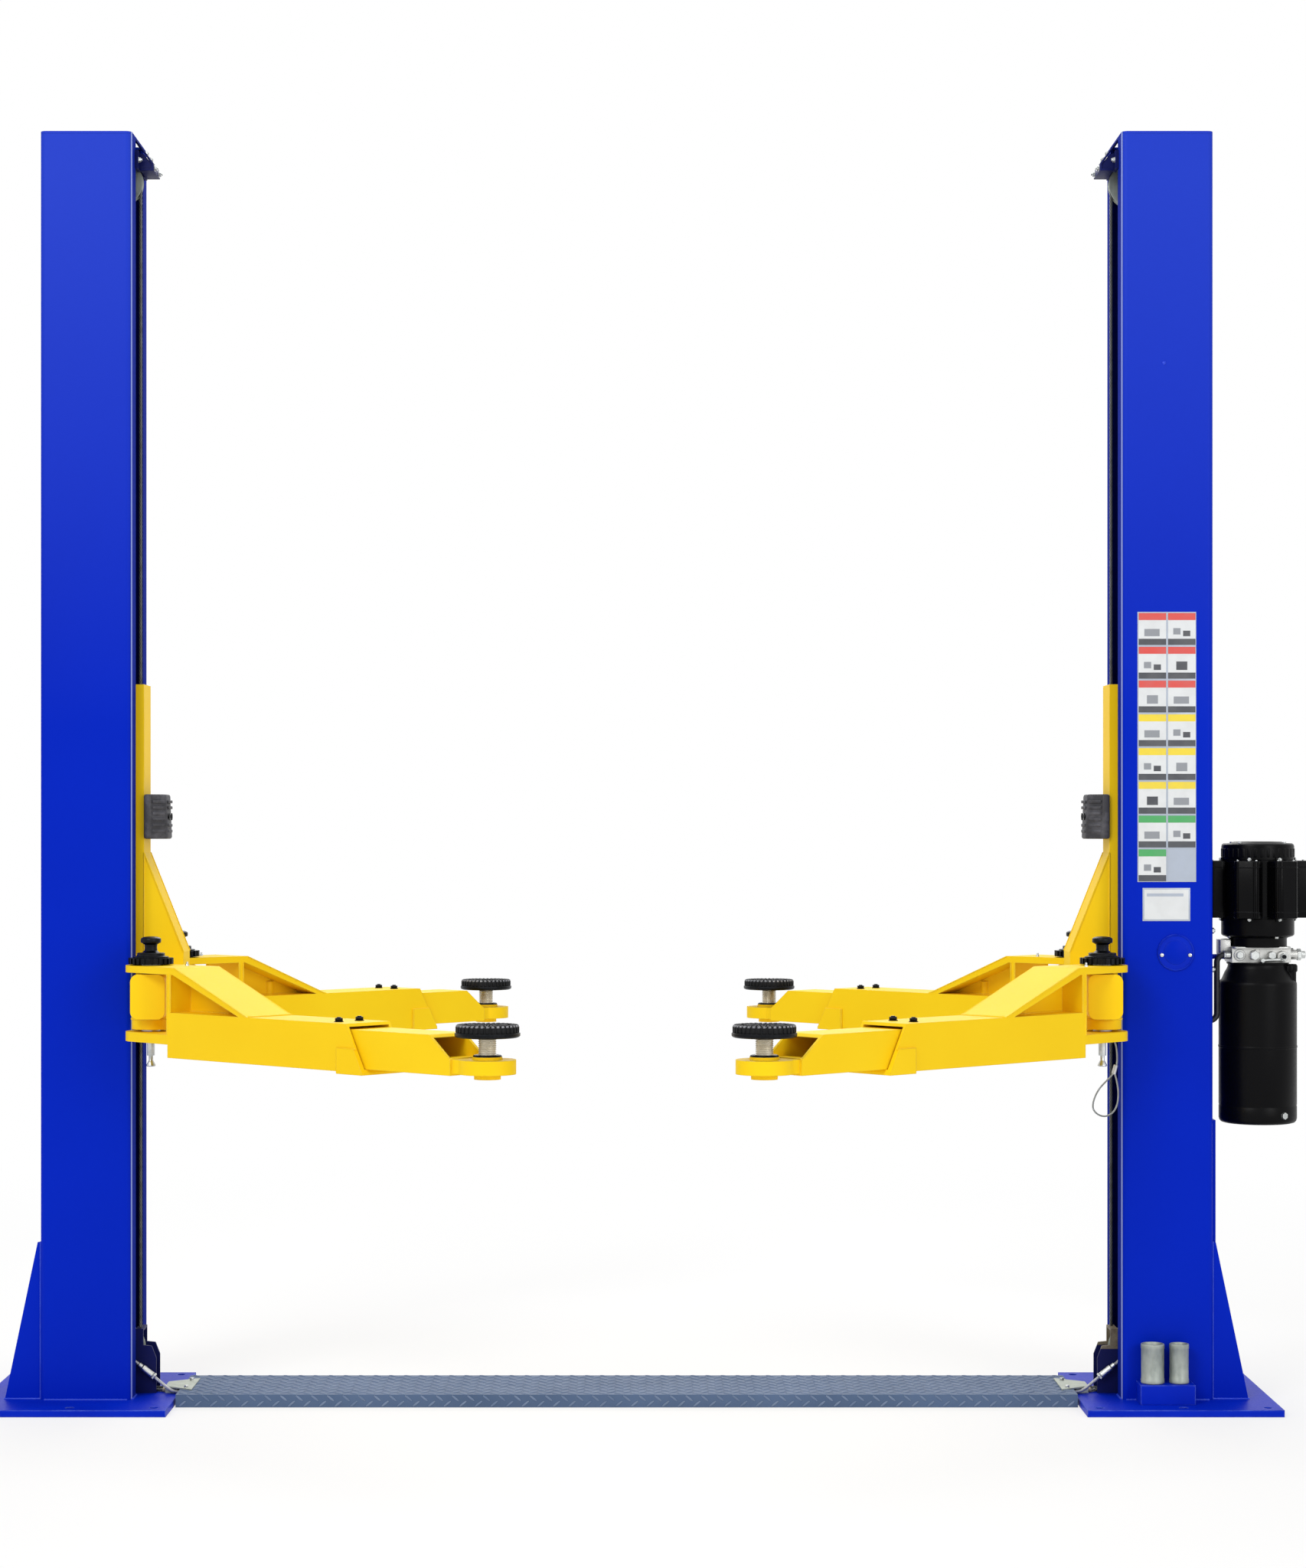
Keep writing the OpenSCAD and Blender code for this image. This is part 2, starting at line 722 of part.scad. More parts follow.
module arm_beam(s) {
  h = beam_l / 2;
  t = beam_t;
  color("#f5d01e") on_side(s) difference() {
    union() {
      along_y(-h, beam_l) difference() {
        round_rect(beam_x0, beam_z, beam_x1, beam_top, beam_r);
        round_rect(beam_x0 + t, beam_z + t, beam_x1 - t, beam_top - t, beam_r - t);
      }
      for (y = [-h, h - t]) along_y(y, t) round_rect(beam_x0 + 1, beam_z + 1, beam_x1 - 1,
        beam_top - 1, beam_r - 1);
      for (y = [-pivot_y, pivot_y]) translate([pivot_x, y, beam_z - low_hub_h])
        cylinder(d = pin_d + 44, h = beam_h / 2 + low_hub_h);
      box([beam_x1 - t, -mast_w / 2, beam_z + beam_r], [mast_x0, mast_w / 2, beam_top - beam_r]);
    }
    for (y = [-pivot_y, pivot_y]) translate([pivot_x, y, beam_z - low_hub_h - eps])
      cylinder(d = pin_d, h = beam_h + low_hub_h + 2 * eps);
  }
}

module pivot_pins(s) {
  color("#b9bcc0") on_side(s) for (y = [-pivot_y, pivot_y]) translate([pivot_x, y, pin_low])
    difference() {
      cylinder(d = pin_d, h = pin_top - pin_low);
      translate([0, 0, -eps]) cylinder(d = pin_bore, h = pin_top - pin_low + 2 * eps);
    }
}

// Places an arm with its pivot at the beam's end and its length along local X
module arm_frame(s, e) {
  a = e < 0 ? front_angle : rear_angle;
  translate([s * pivot_x, e * pivot_y, 0]) rotate([0, 0, atan2(e * sin(a), -s * cos(a))])
    children();
}

function arm_len(e) = e < 0 ? front_len : rear_len;

module fork_plate(z, t, l) {
  translate([0, 0, z]) linear_extrude(t) difference() {
    union() {
      circle(fork_r);
      polygon([[0, -fork_r], [tube_start, -tube_w / 2], [l, -tube_w / 2], [l, tube_w / 2],
        [tube_start, tube_w / 2], [0, fork_r]]);
    }
    circle(pin_d / 2 + pin_gap);
  }
}

// Cuts the outer tube's end on a slant, longer below
module slant_cut() {
  along_y(-tube_w, 2 * tube_w) polygon([
    [tube_end, tube_z + tube_h], [tube_end, tube_z + tube_h + 50],
    [tube_end + 2 * tube_slant, tube_z + tube_h + 50], [tube_end + 2 * tube_slant, tube_z - 50],
    [tube_end + tube_slant, tube_z - 50], [tube_end + tube_slant, tube_z]
  ]);
}

module outer_arm(s, e) {
  w = tube_w / 2;
  top = tube_z + tube_h;
  foot = tube_start + 10;
  color("#f5d01e") arm_frame(s, e) {
    difference() {
      union() {
        box([tube_start, -w, tube_z], [tube_end + tube_slant, w, top]);
        box([tube_end - 25, -w - 5, tube_z - 5], [tube_end + tube_slant, w + 5, tube_z + 50]);
      }
      box([tube_start - eps, -w + tube_t, tube_z + tube_t],
        [tube_end + tube_slant + eps, w - tube_t, top - tube_t]);
      slant_cut();
    }
    fork_plate(fork_low_z, fork_low_t, foot);
    fork_plate(fork_top_z, fork_top_t, foot + 16);
    box([tube_start, -w, fork_low_z], [foot, w, fork_top_z + 1]);
    along_y(-w, tube_w) polygon([
      [foot, fork_crown], [foot + 16, fork_crown], [slope_end, top],
      [slope_end - 2.6 * slope_t, top], [foot + 8, fork_top_z]
    ]);
    translate([(foot + slope_end) / 2, 0, top - 1]) cylinder(d = 25, h = 34);
    along_y(-rib_t / 2, rib_t) polygon([
      [foot - 1, top - 1], [foot - 1, fork_top_z + 1], [foot + 8, fork_top_z + 1],
      [slope_end - 2.6 * slope_t, top + 1], [slope_end - 2.6 * slope_t, top - 1]
    ]);
    for (y = [-30, 30]) translate([tube_end - 60, y, top]) cylinder(d = 14, h = 8);
  }
}

module inner_arm(s, e) {
  d = arm_len(e);
  w = inner_w / 2;
  t = inner_t;
  top = inner_z + inner_h;
  color("#f5d01e") arm_frame(s, e) translate([d, 0, 0]) {
    difference() {
      box([-inner_len, -w, inner_z], [-tip_r + 4, w, top]);
      box([-inner_len - eps, -w + t, inner_z + t], [tip_r, w - t, top - t]);
      along_y(-tube_w, 2 * tube_w) polygon([
        [-2 * tip_r, top], [-2 * tip_r, top + 50], [tip_r, top + 50], [tip_r, tip_top - 2],
        [-tip_r + 4, tip_top - 2]
      ]);
    }
    difference() {
      union() {
        translate([0, 0, tip_top - tip_t]) linear_extrude(tip_t) {
          circle(tip_r);
          translate([-tip_r - 50, -w + t - 1]) square([tip_r + 50, inner_w - 2 * t + 2]);
        }
        translate([0, 0, screw_low]) cylinder(d = collar_d - 6, h = tip_top - screw_low - 1);
        cylinder_at(tip_top - 1, collar_d, collar_h + 1);
      }
      cylinder_at(screw_low - eps, screw_d + 2 * screw_gap, 120);
    }
  }
}

module cylinder_at(z, d, h) {
  translate([0, 0, z]) cylinder(d = d, h = h);
}

module pad_screw(s, e) {
  color("#a9adb2") arm_frame(s, e) translate([arm_len(e), 0, 0]) {
    cylinder_at(screw_low, screw_d, pad_z - screw_low);
    translate([0, 0, pad_z]) rotate_extrude() polygon([
      [0, 0], [saucer_d / 2 - 6, 0], [saucer_d / 2, 4], [saucer_d / 2, saucer_h],
      [saucer_d / 2 - 4, saucer_h], [saucer_d / 2 - 4, 5], [0, 5]
    ]);
  }
}

module pad(s, e) {
  r = saucer_d / 2 - 4 - seat;
  color("#23252a") arm_frame(s, e) translate([arm_len(e), 0, pad_z + 5]) rotate_extrude()
    polygon([[0, 0], [r, 0], [r, rubber_h - 4], [r - 4, rubber_h], [0, rubber_h]]);
}

// Toothed disc, hub and knob on the release rod, which runs down through the pivot pin
module lock(s, e) {
  color("#1d1f22") translate([s * pivot_x, e * pivot_y, lock_z]) {
    linear_extrude(disc_h) difference() {
      circle(d = disc_d);
      for (i = [1 : disc_teeth]) rotate(i * 360 / disc_teeth) translate([disc_d / 2, 0])
        square([7, PI * disc_d / disc_teeth / 2], center = true);
    }
    cylinder_at(disc_h - 1, hub_d, 13);
    cylinder_at(disc_h + 10, 30, knob_h - disc_h - 20);
    cylinder_at(knob_h - 16, knob_d, 10);
    translate([0, 0, knob_h - 6]) cylinder(d1 = knob_d, d2 = knob_d - 22, h = 6);
    cylinder_at(fork_low_z - rod_drop - lock_z, 10, lock_z - fork_low_z + rod_drop + 1);
    cylinder_at(fork_low_z - 32 - lock_z, 18, 45);
    translate([0, 0, fork_low_z - rod_drop - lock_z]) cylinder(d1 = 22, d2 = 10, h = 12);
  }
}

// Centre line of the release cable: down from the right arm beam, round its loop and back
release_route = [
  [1118, -150, 919.7], [1121, -150, 902], [1134, -150, 880], [1146, -150, 850], [1148, -151, 812],
  [1140, -152, 788], [1124, -153, 770], [1106, -154, 750], [1094, -154, 726], [1092, -153, 704],
  [1104, -151, 690], [1122, -149, 686], [1140, -147, 696], [1150, -145, 716], [1152, -144, 744],
  [1148, -144, 770], [1142, -144, 792]
];

function clamp_i(i) = max(0, min(len(release_route) - 1, i));
function spline(p0, p1, p2, p3, t) = 0.5 * (2 * p1 + (p2 - p0) * t
  + (2 * p0 - 5 * p1 + 4 * p2 - p3) * t * t + (3 * p1 - p0 - 3 * p2 + p3) * t * t * t);
function route_point(u) = let(i = min(floor(u), len(release_route) - 2)) spline(
  release_route[clamp_i(i - 1)], release_route[i], release_route[clamp_i(i + 1)],
  release_route[clamp_i(i + 2)], u - i);

module release_cable() {
  rings = 3 * (len(release_route) - 1);
  color("#8d8f93") sweep([for (i = [0 : rings]) route_point(i / 3)], release_d, 8);
}

base_plate(-1);  // left_base_plate
base_plate(1);  // right_base_plate
column(-1);  // left_column
column(1);  // right_column
column_caps();
base_gussets();
floor_cover();
cable_guards();
pulley_brackets();
cable_pulleys();
equalizer_cables();
lift_cylinders();
inspection_covers();
adapter_rack();
height_adapters();
power_unit_bracket();
motor();
capacitor_housings();
valve_block();
oil_tank();
hydraulic_hose();
carriage(-1);  // left_carriage
slide_blocks(-1);  // left_slide_blocks
door_guard(-1);  // left_door_guard
arm_beam(-1);  // left_arm_beam
pivot_pins(-1);  // left_pivot_pins
carriage(1);  // right_carriage
slide_blocks(1);  // right_slide_blocks
door_guard(1);  // right_door_guard
arm_beam(1);  // right_arm_beam
pivot_pins(1);  // right_pivot_pins
outer_arm(-1, -1);  // left_front_outer_arm
inner_arm(-1, -1);  // left_front_inner_arm
pad_screw(-1, -1);  // left_front_pad_screw
pad(-1, -1);  // left_front_pad
lock(-1, -1);  // left_front_lock
outer_arm(-1, 1);  // left_rear_outer_arm
inner_arm(-1, 1);  // left_rear_inner_arm
pad_screw(-1, 1);  // left_rear_pad_screw
pad(-1, 1);  // left_rear_pad
lock(-1, 1);  // left_rear_lock
outer_arm(1, -1);  // right_front_outer_arm
inner_arm(1, -1);  // right_front_inner_arm
pad_screw(1, -1);  // right_front_pad_screw
pad(1, -1);  // right_front_pad
lock(1, -1);  // right_front_lock
outer_arm(1, 1);  // right_rear_outer_arm
inner_arm(1, 1);  // right_rear_inner_arm
pad_screw(1, 1);  // right_rear_pad_screw
pad(1, 1);  // right_rear_pad
lock(1, 1);  // right_rear_lock
release_cable();
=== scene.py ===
import bpy
import bmesh
import math
from mathutils import Matrix, Vector


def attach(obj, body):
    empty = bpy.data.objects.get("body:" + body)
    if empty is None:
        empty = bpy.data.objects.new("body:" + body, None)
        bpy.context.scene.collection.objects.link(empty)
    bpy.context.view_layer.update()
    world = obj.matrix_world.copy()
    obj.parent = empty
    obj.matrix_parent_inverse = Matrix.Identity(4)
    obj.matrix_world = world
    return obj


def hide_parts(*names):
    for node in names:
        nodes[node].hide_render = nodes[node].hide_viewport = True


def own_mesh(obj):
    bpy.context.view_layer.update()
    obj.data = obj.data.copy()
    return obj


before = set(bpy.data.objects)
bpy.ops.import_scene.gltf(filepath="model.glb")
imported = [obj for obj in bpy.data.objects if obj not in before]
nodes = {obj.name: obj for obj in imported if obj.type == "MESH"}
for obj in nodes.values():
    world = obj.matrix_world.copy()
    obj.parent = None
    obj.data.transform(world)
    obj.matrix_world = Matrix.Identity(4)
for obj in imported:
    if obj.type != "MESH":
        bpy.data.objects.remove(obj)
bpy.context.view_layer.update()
tau = 2 * math.pi
print("frame loaded")

# Camera, at the photo's height and distance
cameraSettings = {"place": (0.0146, -7.38, 1.36), "lens": 70.89, "shiftX": 0.0128, "shiftY": 0.0283}


def makeCamera():
    data = bpy.data.cameras.new("photoCamera")
    data.lens = cameraSettings["lens"]
    data.sensor_width = 36
    data.shift_x = cameraSettings["shiftX"]
    data.shift_y = cameraSettings["shiftY"]
    camera = bpy.data.objects.new("photoCamera", data)
    camera.location = cameraSettings["place"]
    camera.rotation_euler = (math.pi / 2, 0, 0)
    bpy.context.scene.collection.objects.link(camera)
    bpy.context.scene.camera = camera


makeCamera()


# Materials: the small helpers

def linearColour(text):
    parts = [int(text[i:i + 2], 16) / 255 for i in (1, 3, 5)]
    return [p / 12.92 if p <= 0.04045 else ((p + 0.055) / 1.055) ** 2.4 for p in parts] + [1]


def addNode(tree, kind, settings=None, links=None):
    made = tree.nodes.new(kind)
    for key, value in (settings or {}).items():
        if isinstance(key, int) or key[0].isupper():
            made.inputs[key].default_value = value
        else:
            setattr(made, key, value)
    for key, source in (links or {}).items():
        tree.links.new(source, made.inputs[key])
    return made


def startMaterial(name):
    material = bpy.data.materials.new(name)
    material.use_nodes = True
    tree = material.node_tree
    tree.nodes.clear()
    shader = addNode(tree, "ShaderNodeBsdfPrincipled")
    addNode(tree, "ShaderNodeOutputMaterial", links={"Surface": shader.outputs[0]})
    place = addNode(tree, "ShaderNodeTexCoord").outputs["Object"]
    return material, tree, shader, place


def rampBetween(tree, source, low, high, start=0.0, end=1.0):
    return addNode(tree, "ShaderNodeMapRange", {"From Min": low, "From Max": high, "To Min": start, "To Max": end},
                   {"Value": source}).outputs[0]


def mixColours(tree, share, first, second, blend="MIX"):
    mixed = addNode(tree, "ShaderNodeMix", {"data_type": "RGBA", "blend_type": blend})
    for key, value in ((0, share), (6, first), (7, second)):
        if isinstance(value, bpy.types.NodeSocket):
            tree.links.new(value, mixed.inputs[key])
        else:
            mixed.inputs[key].default_value = value
    return mixed.outputs[2]


def roundedEdges(tree, radius):
    rounded = addNode(tree, "ShaderNodeBevel", {"samples": 4, "Radius": radius}).outputs[0]
    flat = addNode(tree, "ShaderNodeNewGeometry").outputs["True Normal"]
    dot = addNode(tree, "ShaderNodeVectorMath", {"operation": "DOT_PRODUCT"}, {0: rounded, 1: flat}).outputs["Value"]
    return rounded, rampBetween(tree, dot, 0.97, 0.8)


# Powder coated steel: sprayed and baked, so a satin face with faint orange peel, and a painted highlight: a lighter
# line painted on its edges
def powderCoat(name, look):
    material, tree, shader, place = startMaterial(name)
    shader.inputs["IOR"].default_value = 1.5
    shader.inputs["Specular IOR Level"].default_value = look["shine"]
    wide = addNode(tree, "ShaderNodeTexNoise", {"Scale": 1000 / look["cloudMm"], "Detail": 2.0}, {"Vector": place})
    peel = addNode(tree, "ShaderNodeTexNoise", {"Scale": 1000 / look["peelMm"], "Detail": 2.0}, {"Vector": place})
    scuff = addNode(tree, "ShaderNodeTexNoise", {"Scale": 18.0, "Detail": 8.0, "Roughness": 0.7}, {"Vector": place})
    rounded, edge = roundedEdges(tree, look["edgeMm"] / 1000)
    clouds = rampBetween(tree, wide.outputs[0], 0.3, 0.7)
    base = mixColours(tree, clouds, linearColour(look["deep"]), linearColour(look["colour"]))
    # Painted highlight: the edges are painted towards the pale edge colour, broken up by noise
    edgeHighlightMask = addNode(tree, "ShaderNodeMath", {"operation": "MULTIPLY"},
                   {0: edge, 1: rampBetween(tree, scuff.outputs[0], 0.42, 0.62, 0.15, 1.0)}).outputs[0]
    edgeHighlightShare = addNode(tree, "ShaderNodeMath", {"operation": "MULTIPLY", 1: look["edgeHighlight"]}, {0: edgeHighlightMask}).outputs[0]
    colour = mixColours(tree, edgeHighlightShare, base, linearColour(look["edge"]))
    rough = rampBetween(tree, peel.outputs[0], 0.3, 0.7, look["rough"] - 0.03, look["rough"] + 0.05)
    if "tan" in look:
        parts = addNode(tree, "ShaderNodeSeparateXYZ", links={0: place}).outputs
        out = addNode(tree, "ShaderNodeMath", {"operation": "ABSOLUTE"}, {0: parts[0]}).outputs[0]
        nose = addNode(tree, "ShaderNodeMath", {"operation": "MULTIPLY"},
                       {0: rampBetween(tree, out, 1.172, 1.173, 1.0, 0.0), 1: rampBetween(tree, parts[0], 0.9, 1.0)}).outputs[0]
        low = rampBetween(tree, parts[2], 0.3, 0.31, 1.0, 0.0)
        nose = addNode(tree, "ShaderNodeMath", {"operation": "MULTIPLY"}, {0: nose, 1: low}).outputs[0]
        upper = rampBetween(tree, parts[2], 0.120, 0.123)
        nose = addNode(tree, "ShaderNodeMath", {"operation": "MULTIPLY"}, {0: nose, 1: upper})
        tan = mixColours(tree, rampBetween(tree, scuff.outputs[0], 0.35, 0.7), linearColour(look["tan"]), linearColour("#5d5344"))
        colour = mixColours(tree, nose.outputs[0], colour, tan)
    if "paintedTopLight" in look:  # painted light: the colour turns lighter towards the top, as if lit more by the lamps overhead
        low, high, tone = look["paintedTopLight"]
        height = addNode(tree, "ShaderNodeSeparateXYZ", links={0: place}).outputs[2]
        colour = mixColours(tree, rampBetween(tree, height, low, high), colour, linearColour(tone))
    if "lips" in look:
        colour, rough = paintLipShadeAndHighlight(tree, place, colour, rough, look["lips"])
    tree.links.new(colour, shader.inputs["Base Color"])
    tree.links.new(rough, shader.inputs["Roughness"])
    bump = addNode(tree, "ShaderNodeBump", {"Strength": look["peel"], "Distance": 0.0006},
                   {"Height": peel.outputs[0], "Normal": rounded})
    tree.links.new(bump.outputs[0], shader.inputs["Normal"])
    return material


# Painted shade: a column's lip faces and its inside are painted darker and made dull and rough; painted highlight: the
# bend beside each lip is painted pale
def paintLipShadeAndHighlight(tree, place, colour, rough, lips):
    parts = addNode(tree, "ShaderNodeSeparateXYZ", links={0: place}).outputs
    out = addNode(tree, "ShaderNodeMath", {"operation": "ABSOLUTE"}, {0: parts[0]}).outputs[0]
    side = addNode(tree, "ShaderNodeMath", {"operation": "ABSOLUTE"}, {0: parts[1]}).outputs[0]
    deep = rampBetween(tree, out, 1.1652, 1.1656)
    narrow = rampBetween(tree, side, 0.1138, 0.1142, 1.0, 0.0)
    short = rampBetween(tree, out, 1.3738, 1.3742, 1.0, 0.0)
    inside = addNode(tree, "ShaderNodeMath", {"operation": "MULTIPLY"}, {0: deep, 1: narrow}).outputs[0]
    inside = addNode(tree, "ShaderNodeMath", {"operation": "MULTIPLY"}, {0: inside, 1: short}).outputs[0]
    front = rampBetween(tree, out, 1.1652, 1.1656, 1.0, 0.0)
    bend = addNode(tree, "ShaderNodeMath", {"operation": "MULTIPLY"},
                   {0: rampBetween(tree, out, 1.1665, 1.1675, 1.0, 0.0), 1: rampBetween(tree, side, 0.1040, 0.1080)}).outputs[0]
    paintedEdgeHighlight = addNode(tree, "ShaderNodeMath", {"operation": "MULTIPLY", 1: lips["bendHighlightShare"]}, {0: bend}).outputs[0]
    # Painted shade on the lip faces and the inside, then a painted highlight on the bend
    colour = mixColours(tree, front, colour, linearColour(lips["front"]))
    colour = mixColours(tree, inside, colour, linearColour(lips["inside"]))
    colour = mixColours(tree, paintedEdgeHighlight, colour, linearColour(lips["bend"]))
    shadedAndDull = addNode(tree, "ShaderNodeMath", {"operation": "MAXIMUM"}, {0: front, 1: inside}).outputs[0]
    return colour, addNode(tree, "ShaderNodeMix", {3: lips["rough"]}, {0: shadedAndDull, 2: rough}).outputs[0]


# Metal in its own colour: turned, cast or plated, by the grain it is given
def metalFinish(name, look):
    material, tree, shader, place = startMaterial(name)
    shader.inputs["Metallic"].default_value = look["metal"]
    stretched = addNode(tree, "ShaderNodeMapping", {"Scale": look["stretch"]}, {"Vector": place})
    grain = addNode(tree, "ShaderNodeTexNoise", {"Scale": 1000 / look["grainMm"], "Detail": 4.0},
                    {"Vector": stretched.outputs[0]})
    blotch = addNode(tree, "ShaderNodeTexNoise", {"Scale": 1000 / look["blotchMm"], "Detail": 5.0}, {"Vector": place})
    rounded, edge = roundedEdges(tree, look["edgeMm"] / 1000)
    base = mixColours(tree, rampBetween(tree, blotch.outputs[0], 0.35, 0.68), linearColour(look["deep"]),
                      linearColour(look["colour"]))
    colour = mixColours(tree, rampBetween(tree, grain.outputs[0], 0.3, 0.7, 0.0, 0.35), base,
                        linearColour(look["speck"]))
    tree.links.new(colour, shader.inputs["Base Color"])
    tree.links.new(rampBetween(tree, grain.outputs[0], 0.25, 0.75, look["rough"] - 0.08, look["rough"] + 0.1),
                   shader.inputs["Roughness"])
    bump = addNode(tree, "ShaderNodeBump", {"Strength": look["bump"], "Distance": 0.0005},
                   {"Height": grain.outputs[0], "Normal": rounded})
    tree.links.new(bump.outputs[0], shader.inputs["Normal"])
    return material


# Moulded rubber and plastic: matt, with a fine mould grain and a little dust in the hollows
def mouldedFinish(name, look):
    material, tree, shader, place = startMaterial(name)
    shader.inputs["IOR"].default_value = 1.5
    shader.inputs["Specular IOR Level"].default_value = look["shine"]
    grain = addNode(tree, "ShaderNodeTexVoronoi", {"Scale": 1000 / look["grainMm"]}, {"Vector": place})
    dust = addNode(tree, "ShaderNodeTexNoise", {"Scale": 25.0, "Detail": 7.0, "Roughness": 0.65}, {"Vector": place})
    rounded, edge = roundedEdges(tree, look["edgeMm"] / 1000)
    colour = mixColours(tree, rampBetween(tree, dust.outputs[0], 0.45, 0.75), linearColour(look["colour"]),
                        linearColour(look["dust"]))
    # Painted highlight: the edges are painted half way to the dust colour
    paintedEdgeHighlight = mixColours(tree, addNode(tree, "ShaderNodeMath", {"operation": "MULTIPLY", 1: 0.5}, {0: edge}).outputs[0],
                        colour, linearColour(look["dust"]))
    tree.links.new(paintedEdgeHighlight, shader.inputs["Base Color"])
    tree.links.new(rampBetween(tree, dust.outputs[0], 0.3, 0.7, look["rough"] - 0.06, look["rough"] + 0.1),
                   shader.inputs["Roughness"])
    bump = addNode(tree, "ShaderNodeBump", {"Strength": look["bump"], "Distance": 0.0004},
                   {"Height": grain.outputs["Distance"], "Normal": rounded})
    tree.links.new(bump.outputs[0], shader.inputs["Normal"])
    return material


# Galvanised wire rope: six strands laid round a core, drawn from the tube's own map of length and turn
ropeLook = {"strands": 6, "layMm": 55, "rough": 0.38}


def ropeFinish(name, layMm, bright, deep, grease):
    material, tree, shader, place = startMaterial(name)
    shader.inputs["Metallic"].default_value = 0.85
    mapped = addNode(tree, "ShaderNodeUVMap", {"uv_map": "ropeMap"}).outputs[0]
    parts = addNode(tree, "ShaderNodeSeparateXYZ", links={0: mapped})
    lay = addNode(tree, "ShaderNodeMath", {"operation": "MULTIPLY", 1: 1000 / layMm}, {0: parts.outputs[0]})
    turn = addNode(tree, "ShaderNodeMath", {"operation": "ADD"}, {0: lay.outputs[0], 1: parts.outputs[1]})
    phase = addNode(tree, "ShaderNodeMath", {"operation": "MULTIPLY", 1: math.pi * ropeLook["strands"]},
                    {0: turn.outputs[0]})
    wave = addNode(tree, "ShaderNodeMath", {"operation": "SINE"}, {0: phase.outputs[0]})
    strand = addNode(tree, "ShaderNodeMath", {"operation": "ABSOLUTE"}, {0: wave.outputs[0]}).outputs[0]
    film = addNode(tree, "ShaderNodeTexNoise", {"Scale": 60.0, "Detail": 4.0}, {"Vector": place})
    metal = mixColours(tree, rampBetween(tree, film.outputs[0], 0.4, 0.7, 0.0, 0.5), linearColour(bright),
                       linearColour(grease))
    # Painted shade: the colour turns darker in the grooves between the strands
    colour = mixColours(tree, rampBetween(tree, strand, 0.1, 0.7), linearColour(deep), metal)
    tree.links.new(colour, shader.inputs["Base Color"])
    tree.links.new(rampBetween(tree, film.outputs[0], 0.3, 0.7, ropeLook["rough"] - 0.06, ropeLook["rough"] + 0.12),
                   shader.inputs["Roughness"])
    bump = addNode(tree, "ShaderNodeBump", {"Strength": 0.9, "Distance": 0.0012}, {"Height": strand})
    tree.links.new(bump.outputs[0], shader.inputs["Normal"])
    return material


# Printed vinyl film: flat colour under a clear, slightly glossy face
def printedFilm(name, colour):
    material, tree, shader, place = startMaterial(name)
    shader.inputs["Coat Weight"].default_value = 0.4
    shader.inputs["Coat Roughness"].default_value = 0.2
    fade = addNode(tree, "ShaderNodeTexNoise", {"Scale": 30.0, "Detail": 6.0}, {"Vector": place})
    base = linearColour(colour)
    faded = [c * 0.88 + 0.03 for c in base[:3]] + [1]
    tree.links.new(mixColours(tree, rampBetween(tree, fade.outputs[0], 0.4, 0.7), base, faded),
                   shader.inputs["Base Color"])
    tree.links.new(rampBetween(tree, fade.outputs[0], 0.3, 0.7, 0.3, 0.45), shader.inputs["Roughness"])
    return material


